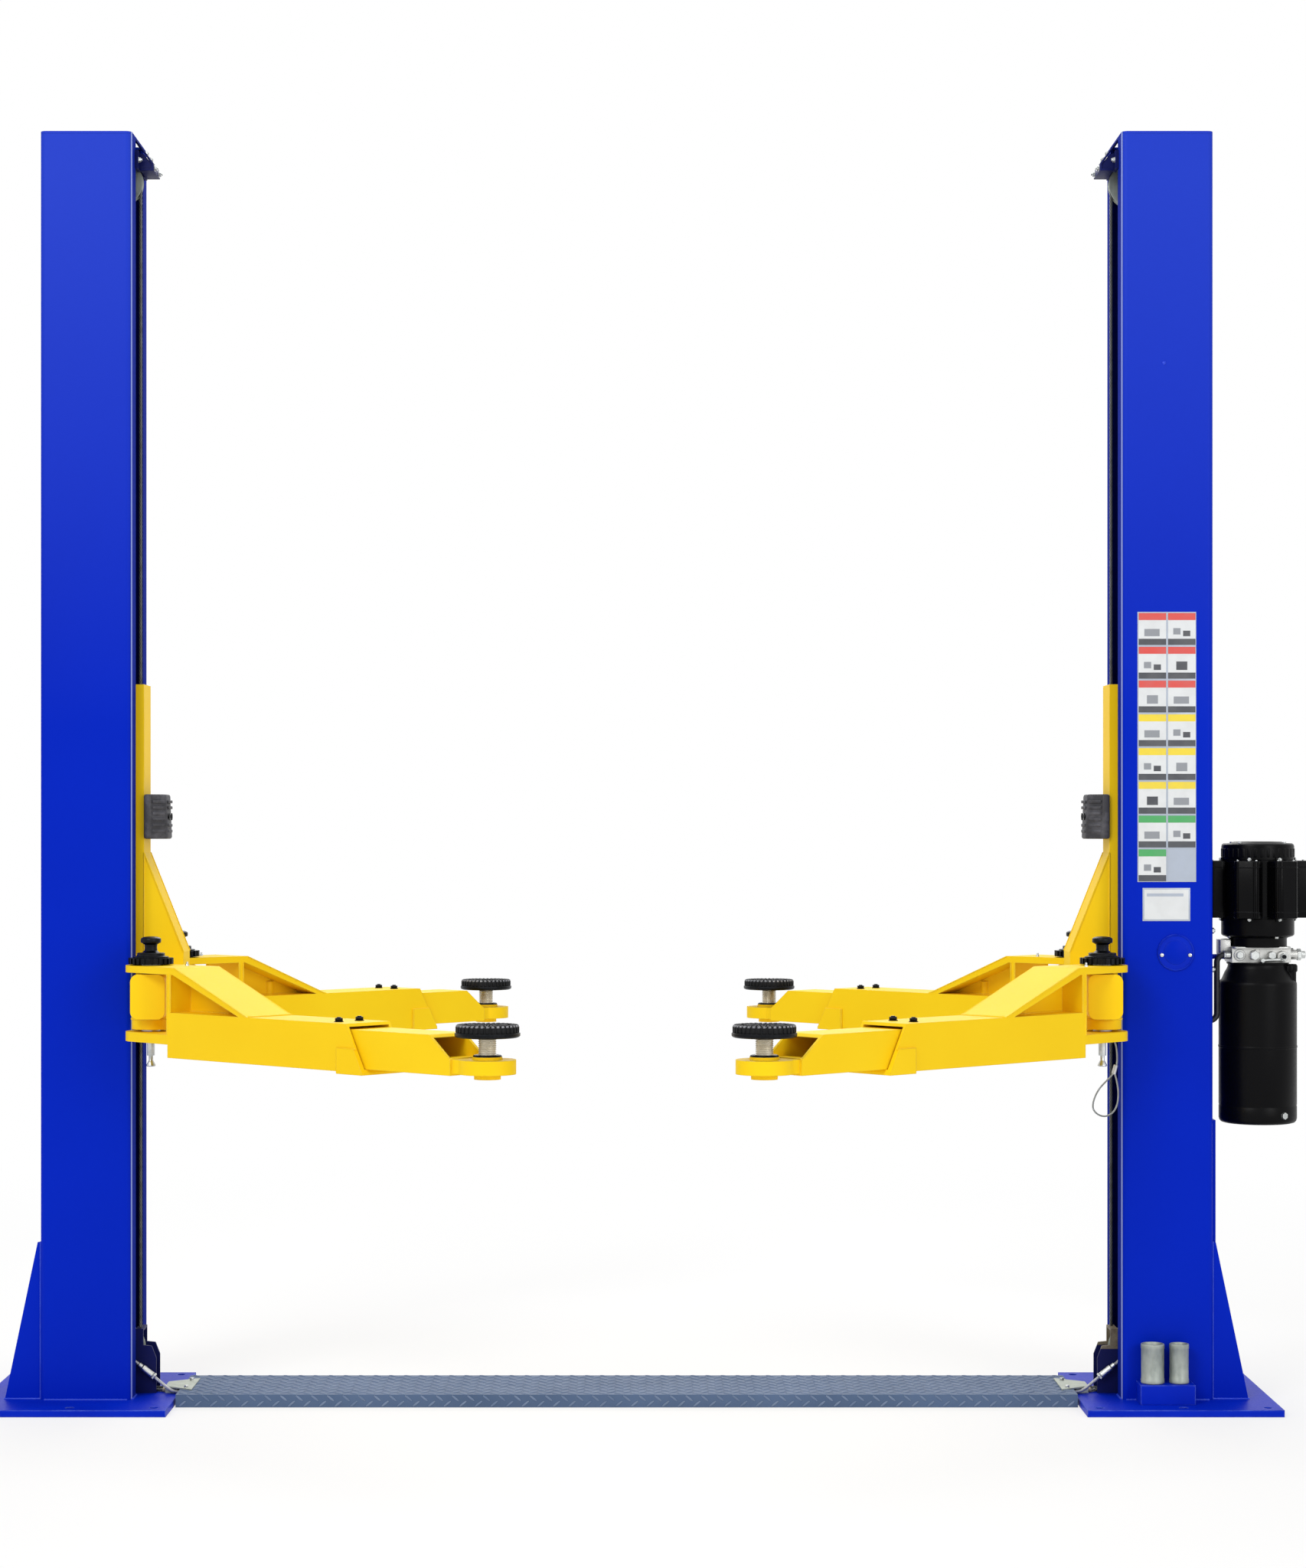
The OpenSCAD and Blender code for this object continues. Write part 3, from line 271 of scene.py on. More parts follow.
paints = {
    "bluePowderCoat": {"colour": "#0025bc", "deep": "#0022b2", "edge": "#4464e0", "edgeHighlight": 0.5, "rough": 0.42,
                       "shine": 0.045, "cloudMm": 600, "peelMm": 5, "peel": 0.1, "edgeMm": 2.5},
    "blueColumnCoat": {"colour": "#0025bc", "deep": "#0022b2", "edge": "#4464e0", "edgeHighlight": 0.4, "rough": 0.42,
                       "shine": 0.045, "cloudMm": 600, "peelMm": 5, "peel": 0.1, "edgeMm": 2.5,
                       # Painted light: the column's colour is painted lighter from 1.6 m up to 2.9 m
                       "paintedTopLight": (1.6, 2.9, "#243ec0"),
                       # Painted shade on the lip faces and inside, painted highlight on the bend
                       "lips": {"front": "#0c2490", "inside": "#081a6c", "bend": "#a0aff5", "bendHighlightShare": 0.8, "rough": 0.9}},
    # Paint over fresh weld: thicker and glossier, and its colour painted lighter as a painted highlight
    "weldedBlueCoat": {"colour": "#1c42d4", "deep": "#1234c6", "edge": "#6a84ee", "edgeHighlight": 0.6, "rough": 0.32,
                       "shine": 0.3, "cloudMm": 40, "peelMm": 4, "peel": 0.3, "edgeMm": 2.0},
    # Painted highlight: a broad pale line painted along the edges of the base plates, racks and inspection covers
    "edgeHighlitBlueCoat": {"colour": "#0028c0", "deep": "#0023b4", "edge": "#6d88f2", "edgeHighlight": 1.0, "rough": 0.4,
                       "shine": 0.08, "cloudMm": 120, "peelMm": 5, "peel": 0.15, "edgeMm": 5.0},
    "navyBracketCoat": {"colour": "#0d1656", "deep": "#0a1048", "edge": "#3c4a9c", "edgeHighlight": 0.4, "rough": 0.5,
                        "shine": 0.14, "cloudMm": 200, "peelMm": 5, "peel": 0.1, "edgeMm": 1.5},
    "bracketPlate": {"colour": "#0d1656", "deep": "#0a1048", "edge": "#3c4a9c", "edgeHighlight": 0.4, "rough": 0.5, "shine": 0.14,
                     "cloudMm": 200, "peelMm": 5, "peel": 0.1, "edgeMm": 1.5, "tan": "#8d8470"},
    "yellowPowderCoat": {"colour": "#fbd314", "deep": "#f7cb0c", "edge": "#fde684", "edgeHighlight": 0.4, "rough": 0.5,
                         "shine": 0.14, "cloudMm": 350, "peelMm": 5, "peel": 0.1, "edgeMm": 2.5},
    "slatePaintedTreadPlate": {"colour": "#566a8a", "deep": "#4a5d7b", "edge": "#93a4bd", "edgeHighlight": 0.7, "rough": 0.52,
                               "shine": 0.2, "cloudMm": 260, "peelMm": 6, "peel": 0.15, "edgeMm": 1.0},
    # Tread lugs: painted lighter than the plate, as a painted highlight on each lug
    "highlitTreadPlate": {"colour": "#7787a2", "deep": "#5f7290", "edge": "#a0aec4", "edgeHighlight": 0.7, "rough": 0.45,
                       "shine": 0.22, "cloudMm": 60, "peelMm": 6, "peel": 0.15, "edgeMm": 1.0},
    "blackEnamel": {"colour": "#050507", "deep": "#030304", "edge": "#2c2e34", "edgeHighlight": 0.35, "rough": 0.32,
                    "shine": 0.09, "cloudMm": 180, "peelMm": 5, "peel": 0.12, "edgeMm": 2.0},
    "tankEnamel": {"colour": "#050507", "deep": "#030304", "edge": "#2c2d32", "edgeHighlight": 0.3, "rough": 0.36,
                   "shine": 0.09, "cloudMm": 220, "peelMm": 7, "peel": 0.18, "edgeMm": 2.0},
}
metals = {
    # Zinc plate: bright, a little milky, with small crystals
    "zincPlatedSteel": {"colour": "#cfd2d1", "deep": "#a9adac", "speck": "#e6e8e6", "metal": 1.0, "rough": 0.34,
                        "bump": 0.2, "grainMm": 4, "blotchMm": 30, "edgeMm": 0.8, "stretch": (1, 1, 1)},
    # Hot dipped pipe: dull grey-green with broad, soft spangle
    "galvanisedTube": {"colour": "#a3aaa3", "deep": "#878f89", "speck": "#bcc3bb", "metal": 0.55, "rough": 0.48,
                       "bump": 0.25, "grainMm": 7, "blotchMm": 40, "edgeMm": 1.2, "stretch": (1, 1, 0.4)},
    # Turned bright steel: brownish grey, rings from the lathe
    "turnedSteel": {"colour": "#ece5d4", "deep": "#cfc7b4", "speck": "#f7f3e8", "metal": 0.7, "rough": 0.36,
                    "bump": 0.3, "grainMm": 3, "blotchMm": 25, "edgeMm": 0.6, "stretch": (0.3, 0.3, 3)},
    # Bent plate with a yellow passivation: tan, matt
    "passivatedPlate": {"colour": "#a39a80", "deep": "#7d745c", "speck": "#b9b199", "metal": 0.7, "rough": 0.45,
                        "bump": 0.25, "grainMm": 5, "blotchMm": 25, "edgeMm": 1.0, "stretch": (1, 1, 1)},
    # Rolled galvanised sheet: pale grey-green, a soft spangle
    "galvanisedSheet": {"colour": "#a9b0a6", "deep": "#959c93", "speck": "#bcc3b8", "metal": 0.4, "rough": 0.5,
                        "bump": 0.2, "grainMm": 6, "blotchMm": 30, "edgeMm": 1.0, "stretch": (1, 1, 1)},
    # Die cast aluminium: pale, grainy, satin
    "castAluminium": {"colour": "#c9c9c6", "deep": "#aeb0ae", "speck": "#dededb", "metal": 0.9, "rough": 0.42,
                      "bump": 0.45, "grainMm": 2.5, "blotchMm": 30, "edgeMm": 1.2, "stretch": (1, 1, 1)},
    # Blackened steel: nearly black, oily satin
    "blackenedSteel": {"colour": "#18191c", "deep": "#101113", "speck": "#2b2d31", "metal": 0.9, "rough": 0.38,
                       "bump": 0.25, "grainMm": 3, "blotchMm": 25, "edgeMm": 0.9, "stretch": (1, 1, 1)},
}
moulded = {
    "mouldedRubber": {"colour": "#0d0e10", "dust": "#232427", "shine": 0.18, "rough": 0.55, "bump": 0.3,
                      "grainMm": 2.5, "edgeMm": 1.0},
    "hoseRubber": {"colour": "#131418", "dust": "#2c2d31", "shine": 0.45, "rough": 0.42, "bump": 0.2,
                   "grainMm": 3, "edgeMm": 0.8},
    # The pads' crests, painted pale as a painted highlight
    "highlitCrestRubber": {"colour": "#6f7075", "dust": "#b0b0b4", "shine": 0.5, "rough": 0.45, "bump": 0.3,
                     "grainMm": 2.5, "edgeMm": 0.6},
    # Harder rubber with chalky bloom, so greyer than the pads
    "guardRubber": {"colour": "#35353a", "dust": "#64646b", "shine": 0.35, "rough": 0.6, "bump": 0.35,
                    "grainMm": 3, "edgeMm": 1.5},
    "castNylon": {"colour": "#ded9c9", "dust": "#c3bda9", "shine": 0.5, "rough": 0.42, "bump": 0.15,
                  "grainMm": 4, "edgeMm": 1.0},
}
films = {"plainFilm": "#dcdfe1", "redFilm": "#d6453d", "yellowFilm": "#ecd22c", "greenFilm": "#3fa35a",
         "darkFilm": "#3c3f46", "greyFilm": "#aab4c4", "patchFilm": "#8b8f96"}
finishes = {name: powderCoat(name, look) for name, look in paints.items()}
finishes.update({name: metalFinish(name, look) for name, look in metals.items()})
finishes.update({name: mouldedFinish(name, look) for name, look in moulded.items()})
finishes.update({name: printedFilm(name, colour) for name, colour in films.items()})
finishes["greasedWireRope"] = ropeFinish("greasedWireRope", ropeLook["layMm"], "#6a6d6e", "#2b2d2f", "#45443c")
finishes["braidedHose"] = ropeFinish("braidedHose", 18, "#dfe1e2", "#8f9497", "#b9bab6")
finishes["thinWireRope"] = ropeFinish("thinWireRope", 30, "#b9bcba", "#54585a", "#8b8a80")

nodeFinish = {
    "base_plate": "edgeHighlitBlueCoat", "column": "blueColumnCoat", "caps": "bluePowderCoat",
    "gussets": "bluePowderCoat", "inspection_covers": "edgeHighlitBlueCoat", "rack": "edgeHighlitBlueCoat",
    "power_unit_bracket": "bluePowderCoat", "floor_cover": "slatePaintedTreadPlate",
    "cable_guards": "galvanisedSheet", "pulley_brackets": "bracketPlate", "pulleys": "galvanisedTube",
    "equalizer_cables": "greasedWireRope", "lift_cylinders": "blackEnamel", "height_adapters": "galvanisedTube",
    "motor": "blackEnamel", "capacitor": "blackEnamel", "valve_block": "castAluminium",
    "oil_tank": "blackEnamel", "hose": "hoseRubber", "carriage": "yellowPowderCoat",
    "slide_blocks": "castNylon", "door_guard": "mouldedRubber", "arm_beam": "yellowPowderCoat",
    "pivot_pins": "zincPlatedSteel", "outer_arm": "yellowPowderCoat", "inner_arm": "yellowPowderCoat",
    "pad_screw": "turnedSteel", "pad": "mouldedRubber", "lock": "blackenedSteel", "release_cable": "thinWireRope",
}
for nodeName, shown in nodes.items():
    fitting = [key for key in nodeFinish if key in nodeName]
    chosen = nodeFinish[max(fitting, key=len)]
    for shownSlot in shown.material_slots:
        shownSlot.material = finishes[chosen]
print("materials made")


# Mesh helpers. A piece is a list of shapes, each one bmesh, joined at the end

def paint(shapes, index):
    for shape in shapes:
        if "painted" not in shape:
            shape["painted"] = index


def addShape(shapes, bm, place):
    bmesh.ops.transform(bm, matrix=place, verts=bm.verts)
    shapes.append({"bm": bm})
    return bm


def addPiece(shapes, name, body, materials, stands=(), smooth=35):
    whole = bmesh.new()
    if any(shape["bm"].loops.layers.uv for shape in shapes):
        whole.loops.layers.uv.new("ropeMap")
    mesh = bpy.data.meshes.new(name)
    for shape in shapes:
        bm = shape["bm"]
        bmesh.ops.remove_doubles(bm, verts=bm.verts, dist=1e-6)
        bmesh.ops.recalc_face_normals(bm, faces=bm.faces)
        for face in bm.faces:
            face.material_index = shape["painted"]
        bm.to_mesh(mesh)
        bm.free()
        whole.from_mesh(mesh, face_normals=False, vertex_normals=False)
    whole.to_mesh(mesh)
    whole.free()
    for material in materials:
        mesh.materials.append(finishes[material])
    mesh.polygons.foreach_set("use_smooth", [True] * len(mesh.polygons))
    mesh.set_sharp_from_angle(angle=math.radians(smooth))
    piece = bpy.data.objects.new(name, mesh)
    bpy.context.scene.collection.objects.link(piece)
    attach(piece, body)
    if stands:
        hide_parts(*stands)
    return piece


def facing(start, end):
    start, end = Vector(start), Vector(end)
    return Matrix.Translation((start + end) / 2) @ (end - start).to_track_quat("Z", "Y").to_matrix().to_4x4()


def addBlock(shapes, low, high, edge=0.0, place=Matrix.Identity(4)):
    low, high = Vector(low), Vector(high)
    bm = bmesh.new()
    bmesh.ops.create_cube(bm, size=1, matrix=Matrix.Translation((low + high) / 2) @ Matrix.Diagonal((*(high - low), 1)))
    if edge:
        bmesh.ops.bevel(bm, geom=bm.edges[:], offset=edge, affect="EDGES", segments=2, profile=0.5, material=-1)
    return addShape(shapes, bm, place)


def addRod(shapes, start, end, radius, sides=20, edge=0.0, place=Matrix.Identity(4)):
    bm = bmesh.new()
    bmesh.ops.create_cone(bm, cap_ends=True, segments=sides, radius1=radius, radius2=radius,
                          depth=(Vector(end) - Vector(start)).length, matrix=facing(start, end))
    if edge:
        rims = [e for e in bm.edges if any(len(f.verts) > 4 for f in e.link_faces)]
        bmesh.ops.bevel(bm, geom=rims, offset=edge, affect="EDGES", segments=1, profile=0.5, material=-1)
    return addShape(shapes, bm, place)


def addLathe(shapes, profile, sides=48, place=Matrix.Identity(4)):
    bm = bmesh.new()
    verts = [bm.verts.new((r, 0, z)) for r, z in profile]
    edges = [bm.edges.new(pair) for pair in zip(verts, verts[1:])]
    bmesh.ops.spin(bm, geom=verts + edges, axis=(0, 0, 1), cent=(0, 0, 0), steps=sides, angle=tau, use_merge=True)
    bmesh.ops.remove_doubles(bm, verts=bm.verts, dist=1e-6)
    return addShape(shapes, bm, place)


# Outline in X and Y drawn up to a prism, low to high
def addPrism(shapes, outline, low, high, edge=0.0, place=Matrix.Identity(4)):
    bm = bmesh.new()
    face = bm.faces.new([bm.verts.new((x, y, low)) for x, y in outline])
    grown = bmesh.ops.extrude_face_region(bm, geom=[face])["geom"]
    top = [g for g in grown if isinstance(g, bmesh.types.BMVert)]
    bmesh.ops.translate(bm, vec=(0, 0, high - low), verts=top)
    bmesh.ops.recalc_face_normals(bm, faces=bm.faces)
    if edge:
        bmesh.ops.bevel(bm, geom=bm.edges[:], offset=edge, affect="EDGES", segments=2, profile=0.5, material=-1)
    return addShape(shapes, bm, place)


# Hexagon bolt head with its washer, from a seat along a direction
def addBolt(shapes, seat, direction, size, place=Matrix.Identity(4), stud=0.0):
    seat, way = Vector(seat), Vector(direction).normalized()
    addRod(shapes, seat, seat + way * size * 0.16, size * 1.05, 20, 0.0, place)
    addRod(shapes, seat + way * size * 0.16, seat + way * size * 0.86, size * 0.9, 6, size * 0.08, place)
    if stud:
        addRod(shapes, seat + way * size * 0.86, seat + way * (size * 0.86 + stud), size * 0.5, 14, size * 0.08, place)


# Weld bead: a row of overlapping ripples from one point to the next
def addBead(shapes, points, radius=0.004, place=Matrix.Identity(4)):
    for start, end in zip(points, points[1:]):
        start, end = Vector(start), Vector(end)
        count = max(2, round((end - start).length / (radius * 0.95)))
        bm = bmesh.new()
        for i in range(count + 1):
            swell = 0.92 + 0.1 * math.sin(i * 2.4)
            bmesh.ops.create_icosphere(bm, subdivisions=1, radius=radius * swell,
                                       matrix=Matrix.Translation(start.lerp(end, i / count)))
        addShape(shapes, bm, place)


# Round tube swept along points, with a map of its length in metres and its turn
def addRope(shapes, points, radius, sides):
    bm = bmesh.new()
    mapLayer = bm.loops.layers.uv.new("ropeMap")
    points = [Vector(p) for p in points]
    steps = [b - a for a, b in zip(points, points[1:])]
    lengths = [0.0]
    for step in steps:
        lengths.append(lengths[-1] + step.length)
    way = steps[0].normalized()
    turned = way.to_track_quat("Z", "Y").to_matrix().to_4x4()
    ring = bmesh.ops.create_circle(bm, cap_ends=False, segments=sides, radius=radius,
                                   matrix=Matrix.Translation(points[0]) @ turned)["verts"]
    at = {v: (0.0, i / sides) for i, v in enumerate(ring)}
    first = last = ring
    for i in range(1, len(points)):
        edges = [e for e in {e for v in last for e in v.link_edges} if e.verts[0] in last and e.verts[1] in last]
        grown = bmesh.ops.extrude_edge_only(bm, edges=edges)["geom"]
        fresh = [g for g in grown if isinstance(g, bmesh.types.BMVert)]
        order = {}
        for v in fresh:
            old = next(e.other_vert(v) for e in v.link_edges if e.other_vert(v) in at)
            order[v] = at[old][1]
        nextWay = (steps[i - 1].normalized() + steps[min(i, len(steps) - 1)].normalized()).normalized()
        turn = way.rotation_difference(nextWay).to_matrix().to_4x4()
        bmesh.ops.transform(bm, matrix=Matrix.Translation(points[i]) @ turn @ Matrix.Translation(-points[i - 1]),
                            verts=fresh)
        way = nextWay
        for v in fresh:
            at[v] = (lengths[i], order[v])
        last = fresh
    for end in (first, last):
        bmesh.ops.contextual_create(bm, geom=[e for e in {e for v in end for e in v.link_edges}
                                              if e.verts[0] in end and e.verts[1] in end])
    for face in bm.faces:
        turns = [at[v][1] for v in face.verts]
        wraps = max(turns) - min(turns) > 0.5
        for loop in face.loops:
            along, turn = at[loop.vert]
            loop[mapLayer].uv = (along, turn + 1 if wraps and turn < 0.5 else turn)
    return addShape(shapes, bm, Matrix.Identity(4))


alongY = Matrix.Rotation(math.pi / 2, 4, "X")  # local z becomes -Y, local y becomes Z
sides = {"left": -1, "right": 1}

# Release cable: thin wire rope that hangs in a loop from the right arm beam, crimped to itself
releaseCable = {
    "diameter": 0.004, "ferrule": 0.0052, "ferruleLength": 0.024,
    "route": [(1.118, -0.150, 0.9197), (1.121, -0.150, 0.902), (1.134, -0.150, 0.880), (1.146, -0.150, 0.850),
              (1.148, -0.151, 0.812), (1.140, -0.152, 0.788), (1.124, -0.153, 0.770), (1.106, -0.154, 0.750),
              (1.094, -0.154, 0.726), (1.092, -0.153, 0.704), (1.104, -0.151, 0.690), (1.122, -0.149, 0.686),
              (1.140, -0.147, 0.696), (1.150, -0.145, 0.716), (1.152, -0.144, 0.744), (1.148, -0.144, 0.770),
              (1.142, -0.144, 0.792)]}


def smoothRoute(route, steps):
    held = [Vector(p) for p in route]
    held = [held[0]] + held + [held[-1]]
    points = []
    for i in range(len(route) - 1):
        p0, p1, p2, p3 = held[i:i + 4]
        for k in range(steps):
            t = k / steps
            points.append(0.5 * (2 * p1 + (p2 - p0) * t + (2 * p0 - 5 * p1 + 4 * p2 - p3) * t * t
                                 + (3 * p1 - p0 - 3 * p2 + p3) * t ** 3))
    return points + [held[-1]]


def makeReleaseCable():
    points = smoothRoute(releaseCable["route"], 6)
    shapes = []
    addRope(shapes, points, releaseCable["diameter"] / 2, 12)
    paint(shapes, 0)
    cable = addPiece(shapes, "releaseCable", "right_lift", ["thinWireRope"], ["release_cable"])
    shapes = []
    top = Vector(releaseCable["route"][-1])
    middle = (top + Vector((1.1445, -0.1515, 0.798))) / 2
    half = Vector((0.003, 0, 0.011))
    bm = addRod(shapes, middle - half, middle + half, releaseCable["ferrule"], 16, edge=0.001)
    bmesh.ops.scale(bm, vec=(1, 1.4, 1), space=Matrix.Translation(-middle), verts=bm.verts)
    paint(shapes, 0)
    ferrule = addPiece(shapes, "cableFerrule", "right_lift", ["castAluminium"])
    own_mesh(cable)
    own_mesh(ferrule)


makeReleaseCable()
print("release cable made")

# Places that the details share, in metres
lift = {"lipX": 1.165, "columnBack": 1.38, "columnTop": 2.994, "halfWidth": 0.12, "baseTop": 0.016,
        "pulleyX": 1.208, "lowPulleyZ": 0.118, "topPulleyZ": 2.899, "pulleyR": 0.048, "cableY": 0.015,
        "pivotX": 1.104, "pivotY": 0.215, "unitX": 1.508}
armEnds = {("left", "front"): (-1, -1), ("left", "rear"): (-1, 1), ("right", "front"): (1, -1), ("right", "rear"): (1, 1)}
armLength = {"front": 1.105, "rear": 1.037}
armAngle = {"front": 42.4, "rear": 45.9}


def armPlace(side, end):
    s, e = armEnds[side, end]
    a = math.radians(armAngle[end])
    turn = math.atan2(e * math.sin(a), -s * math.cos(a))
    return Matrix.Translation((s * lift["pivotX"], e * lift["pivotY"], 0)) @ Matrix.Rotation(turn, 4, "Z")


def turnedFor(s):
    return Matrix.Rotation(math.pi if s < 0 else 0, 4, "Z")


def mirroredFor(s):
    return Matrix.Diagonal((s, 1, 1, 1))


# Equalizer cables: over the top pulley, down the column, across the floor and up the other column
equalizer = {"diameter": 0.008, "kneeX": 1.1525, "kneeR": 0.040, "floorZ": 0.021, "slope": 40,
             "anchorZ": 0.169, "endZ": 2.958}


def arcPoints(x, z, r, start, end):
    count = math.ceil(abs(end - start) / 7.5)
    angles = [math.radians(start + (end - start) * i / count) for i in range(count + 1)]
    return [(x + r * math.cos(a), lift["cableY"], z + r * math.sin(a)) for a in angles]


def makeEqualizerCables():
    x, r, y = lift["pulleyX"], lift["pulleyR"], lift["cableY"]
    foot = arcPoints(x, lift["lowPulleyZ"], r, 0, equalizer["slope"] - 90)
    foot += arcPoints(equalizer["kneeX"], equalizer["floorZ"] + equalizer["kneeR"], equalizer["kneeR"],
                      equalizer["slope"] - 90, -90)
    line = [(x - r, y, equalizer["anchorZ"])] + arcPoints(x, lift["topPulleyZ"], r, 180, 0) + foot
    line += [(-p[0], p[1], p[2]) for p in reversed(foot)] + [(-x - r, y, equalizer["endZ"])]
    shapes = []
    for s in (-1, 1):
        turn = turnedFor(s)
        addRope(shapes, [turn @ Vector(p) for p in line], equalizer["diameter"] / 2, 16)
    paint(shapes, 0)
    addPiece(shapes, "equalizerCables", "frame", ["greasedWireRope"], ["equalizer_cables"])


makeEqualizerCables()
print("equalizer cables made")


# Lifting pads: ribbed rubber in a black saucer on a threaded screw
padSettings = {"padZ": 0.9253, "saucerR": 0.0685, "rubberR": 0.0642, "rubberTop": 0.9523, "teeth": 36, "ribRise": 0.003,
               "screwR": 0.019, "screwLow": 0.8383, "pitch": 0.004}


def makePads():
    p = padSettings
    for (side, end), (s, e) in armEnds.items():
        place = armPlace(side, end) @ Matrix.Translation((armLength[end], 0, 0))
        body = f"{side}_{end}_pad_head"
        shapes = []
        z0, top, r = p["padZ"] + 0.005, p["rubberTop"] - p["ribRise"], p["rubberR"]
        profile = [(0, z0), (r, z0), (r, z0 + 0.003), (r, top - 0.006), (r, top), (r - 0.016, top),
                   (r - 0.020, top), (r - 0.038, top), (r - 0.042, top), (0.012, top), (0.009, top - 0.004), (0, top - 0.004)]
        bm = addLathe(shapes, profile, p["teeth"] * 2, place)
        bmesh.ops.recalc_face_normals(bm, faces=bm.faces)
        bm.faces.ensure_lookup_table()
        raised = []
        centre = place @ Vector((0, 0, 0))
        for face in bm.faces:
            middle = place.inverted() @ face.calc_center_median()
            away = math.hypot(middle.x, middle.y)
            wedge = int(math.atan2(middle.y, middle.x) / tau * p["teeth"] * 2 + p["teeth"] * 2)
            if abs(face.normal.z) > 0.9 and middle.z > top - 0.001 and away > 0.013:
                ring = 0 if away > r - 0.018 else 1 if away > r - 0.040 else 2
                gap = r - 0.020 < away < r - 0.016 or r - 0.042 < away < r - 0.038
                if not gap and (wedge + ring) % 2 == 0:
                    raised.append(face)
        made = bmesh.ops.extrude_discrete_faces(bm, faces=raised)["faces"]
        for face in made:
            middle = face.calc_center_median()
            rise = Matrix.Translation((0, 0, p["ribRise"]))
            bmesh.ops.transform(bm, matrix=rise, verts=face.verts)
            bmesh.ops.scale(bm, vec=(0.86, 0.86, 1), space=Matrix.Translation(-middle), verts=face.verts)
        for i in range(p["teeth"]):
            turn = place @ Matrix.Rotation(tau * (i + 0.5) / p["teeth"], 4, "Z")
            addBlock(shapes, (r - 0.002, -0.0030, z0 + 0.006), (r + 0.0022, 0.0030, top - 0.001), 0.0008, turn)
        paint(shapes, 0)
        for i in range(p["teeth"]):
            turn = place @ Matrix.Rotation(tau * (i + 0.5) / p["teeth"], 4, "Z")
            addBlock(shapes, (r - 0.006, -0.0028, top - 0.004), (r + 0.0012, 0.0028, top + 0.0024), 0.0008, turn)
        paint(shapes, 1)
        addPiece(shapes, f"{side}_{end}_padRubber", body, ["mouldedRubber", "highlitCrestRubber"], [f"{side}_{end}_pad"], 30)
        shapes = []
        low, high, sr = p["screwLow"], p["padZ"], p["screwR"]
        profile = [(0, low), (sr - 0.003, low)]
        z = low + 0.001
        while z < high - 0.0055:
            profile += [(sr - 0.0018, z), (sr, z + p["pitch"] * 0.35), (sr, z + p["pitch"] * 0.5),
                        (sr - 0.0018, z + p["pitch"] * 0.85)]
            z += p["pitch"]
        profile += [(sr - 0.0018, high), (0, high)]
        addLathe(shapes, profile, 32, place)
        paint(shapes, 0)
        outer = p["saucerR"]
        saucer = [(0, high), (0.028, high), (0.031, high - 0.0), (outer - 0.006, high), (outer - 0.002, high + 0.0015),
                  (outer, high + 0.004), (outer, high + 0.009), (outer - 0.001, high + 0.010), (outer - 0.003, high + 0.010),
                  (outer - 0.004, high + 0.009), (outer - 0.004, high + 0.005), (0, high + 0.005)]
        addLathe(shapes, saucer, 64, place)
        addLathe(shapes, [(0, high - 0.0006), (sr + 0.006, high - 0.0006), (sr + 0.008, high + 0.0004), (0, high + 0.0004)], 32, place)
        paint(shapes, 1)
        addPiece(shapes, f"{side}_{end}_padScrew", body, ["turnedSteel", "blackenedSteel"],
                 [f"{side}_{end}_pad_screw"], 30)


makePads()
print("pads made")

# Arm locks: toothed disc, stepped hub and mushroom knob on the release rod
lockSettings = {"z": 1.0457, "teeth": 24, "discR": 0.052, "discH": 0.014, "hubR": 0.032, "rodLow": 0.808}


def makeLocks():
    p = lockSettings
    for (side, end), (s, e) in armEnds.items():
        place = Matrix.Translation((s * lift["pivotX"], e * lift["pivotY"], p["z"]))
        shapes = []
        rim = p["discR"]
        bm = addLathe(shapes, [(0.0, 0), (rim - 0.004, 0), (rim - 0.004, p["discH"]), (0, p["discH"])], p["teeth"] * 4)
        bmesh.ops.recalc_face_normals(bm, faces=bm.faces)
        teeth = [f for f in bm.faces if abs(f.normal.z) < 0.1
                 and int((math.atan2(f.calc_center_median().y, f.calc_center_median().x) / tau + 1) * p["teeth"] * 4) % 4 < 2]
        grown = bmesh.ops.extrude_face_region(bm, geom=teeth)["geom"]
        verts = [g for g in grown if isinstance(g, bmesh.types.BMVert)]
        bmesh.ops.scale(bm, vec=(rim / (rim - 0.004), rim / (rim - 0.004), 1), verts=verts)
        bmesh.ops.delete(bm, geom=teeth, context="FACES_ONLY")
        bmesh.ops.transform(bm, matrix=place, verts=bm.verts)
        h = p["discH"]
        addLathe(shapes, [(0, h - 0.0005), (0.040, h - 0.0005), (0.041, h + 0.001), (0.041, h + 0.003), (0.033, h + 0.0045),
                      (0.032, h + 0.006), (0.032, 0.0243), (0.0305, 0.0258), (0.022, 0.0258), (0.019, 0.0275), (0.015, 0.031),
                      (0.0142, 0.038), (0.0148, 0.0445), (0.019, 0.0478), (0.0225, 0.0490), (0.0235, 0.0512),
                      (0.0235, 0.0568), (0.0225, 0.0592), (0.0195, 0.0612), (0.0155, 0.0626), (0.008, 0.0638), (0, 0.064)],
                 40, place)
        paint(shapes, 0)
        low = p["rodLow"] - p["z"]
        addLathe(shapes, [(0, low), (0.0095, low), (0.011, low + 0.0015), (0.0105, low + 0.004), (0.006, low + 0.012), (0.005, low + 0.014),
                      (0.005, -0.2125), (0.0088, -0.2125), (0.009, -0.2105), (0.009, -0.17), (0.009, -0.1647), (0.005, -0.1647), (0.005, 0.001), (0, 0.001)],
                 20, place)
        paint(shapes, 1)
        addPiece(shapes, f"{side}_{end}_armLock", f"{side}_{end}_release", ["blackenedSteel", "zincPlatedSteel"],
                 [f"{side}_{end}_lock"], 32)


makeLocks()
print("locks made")

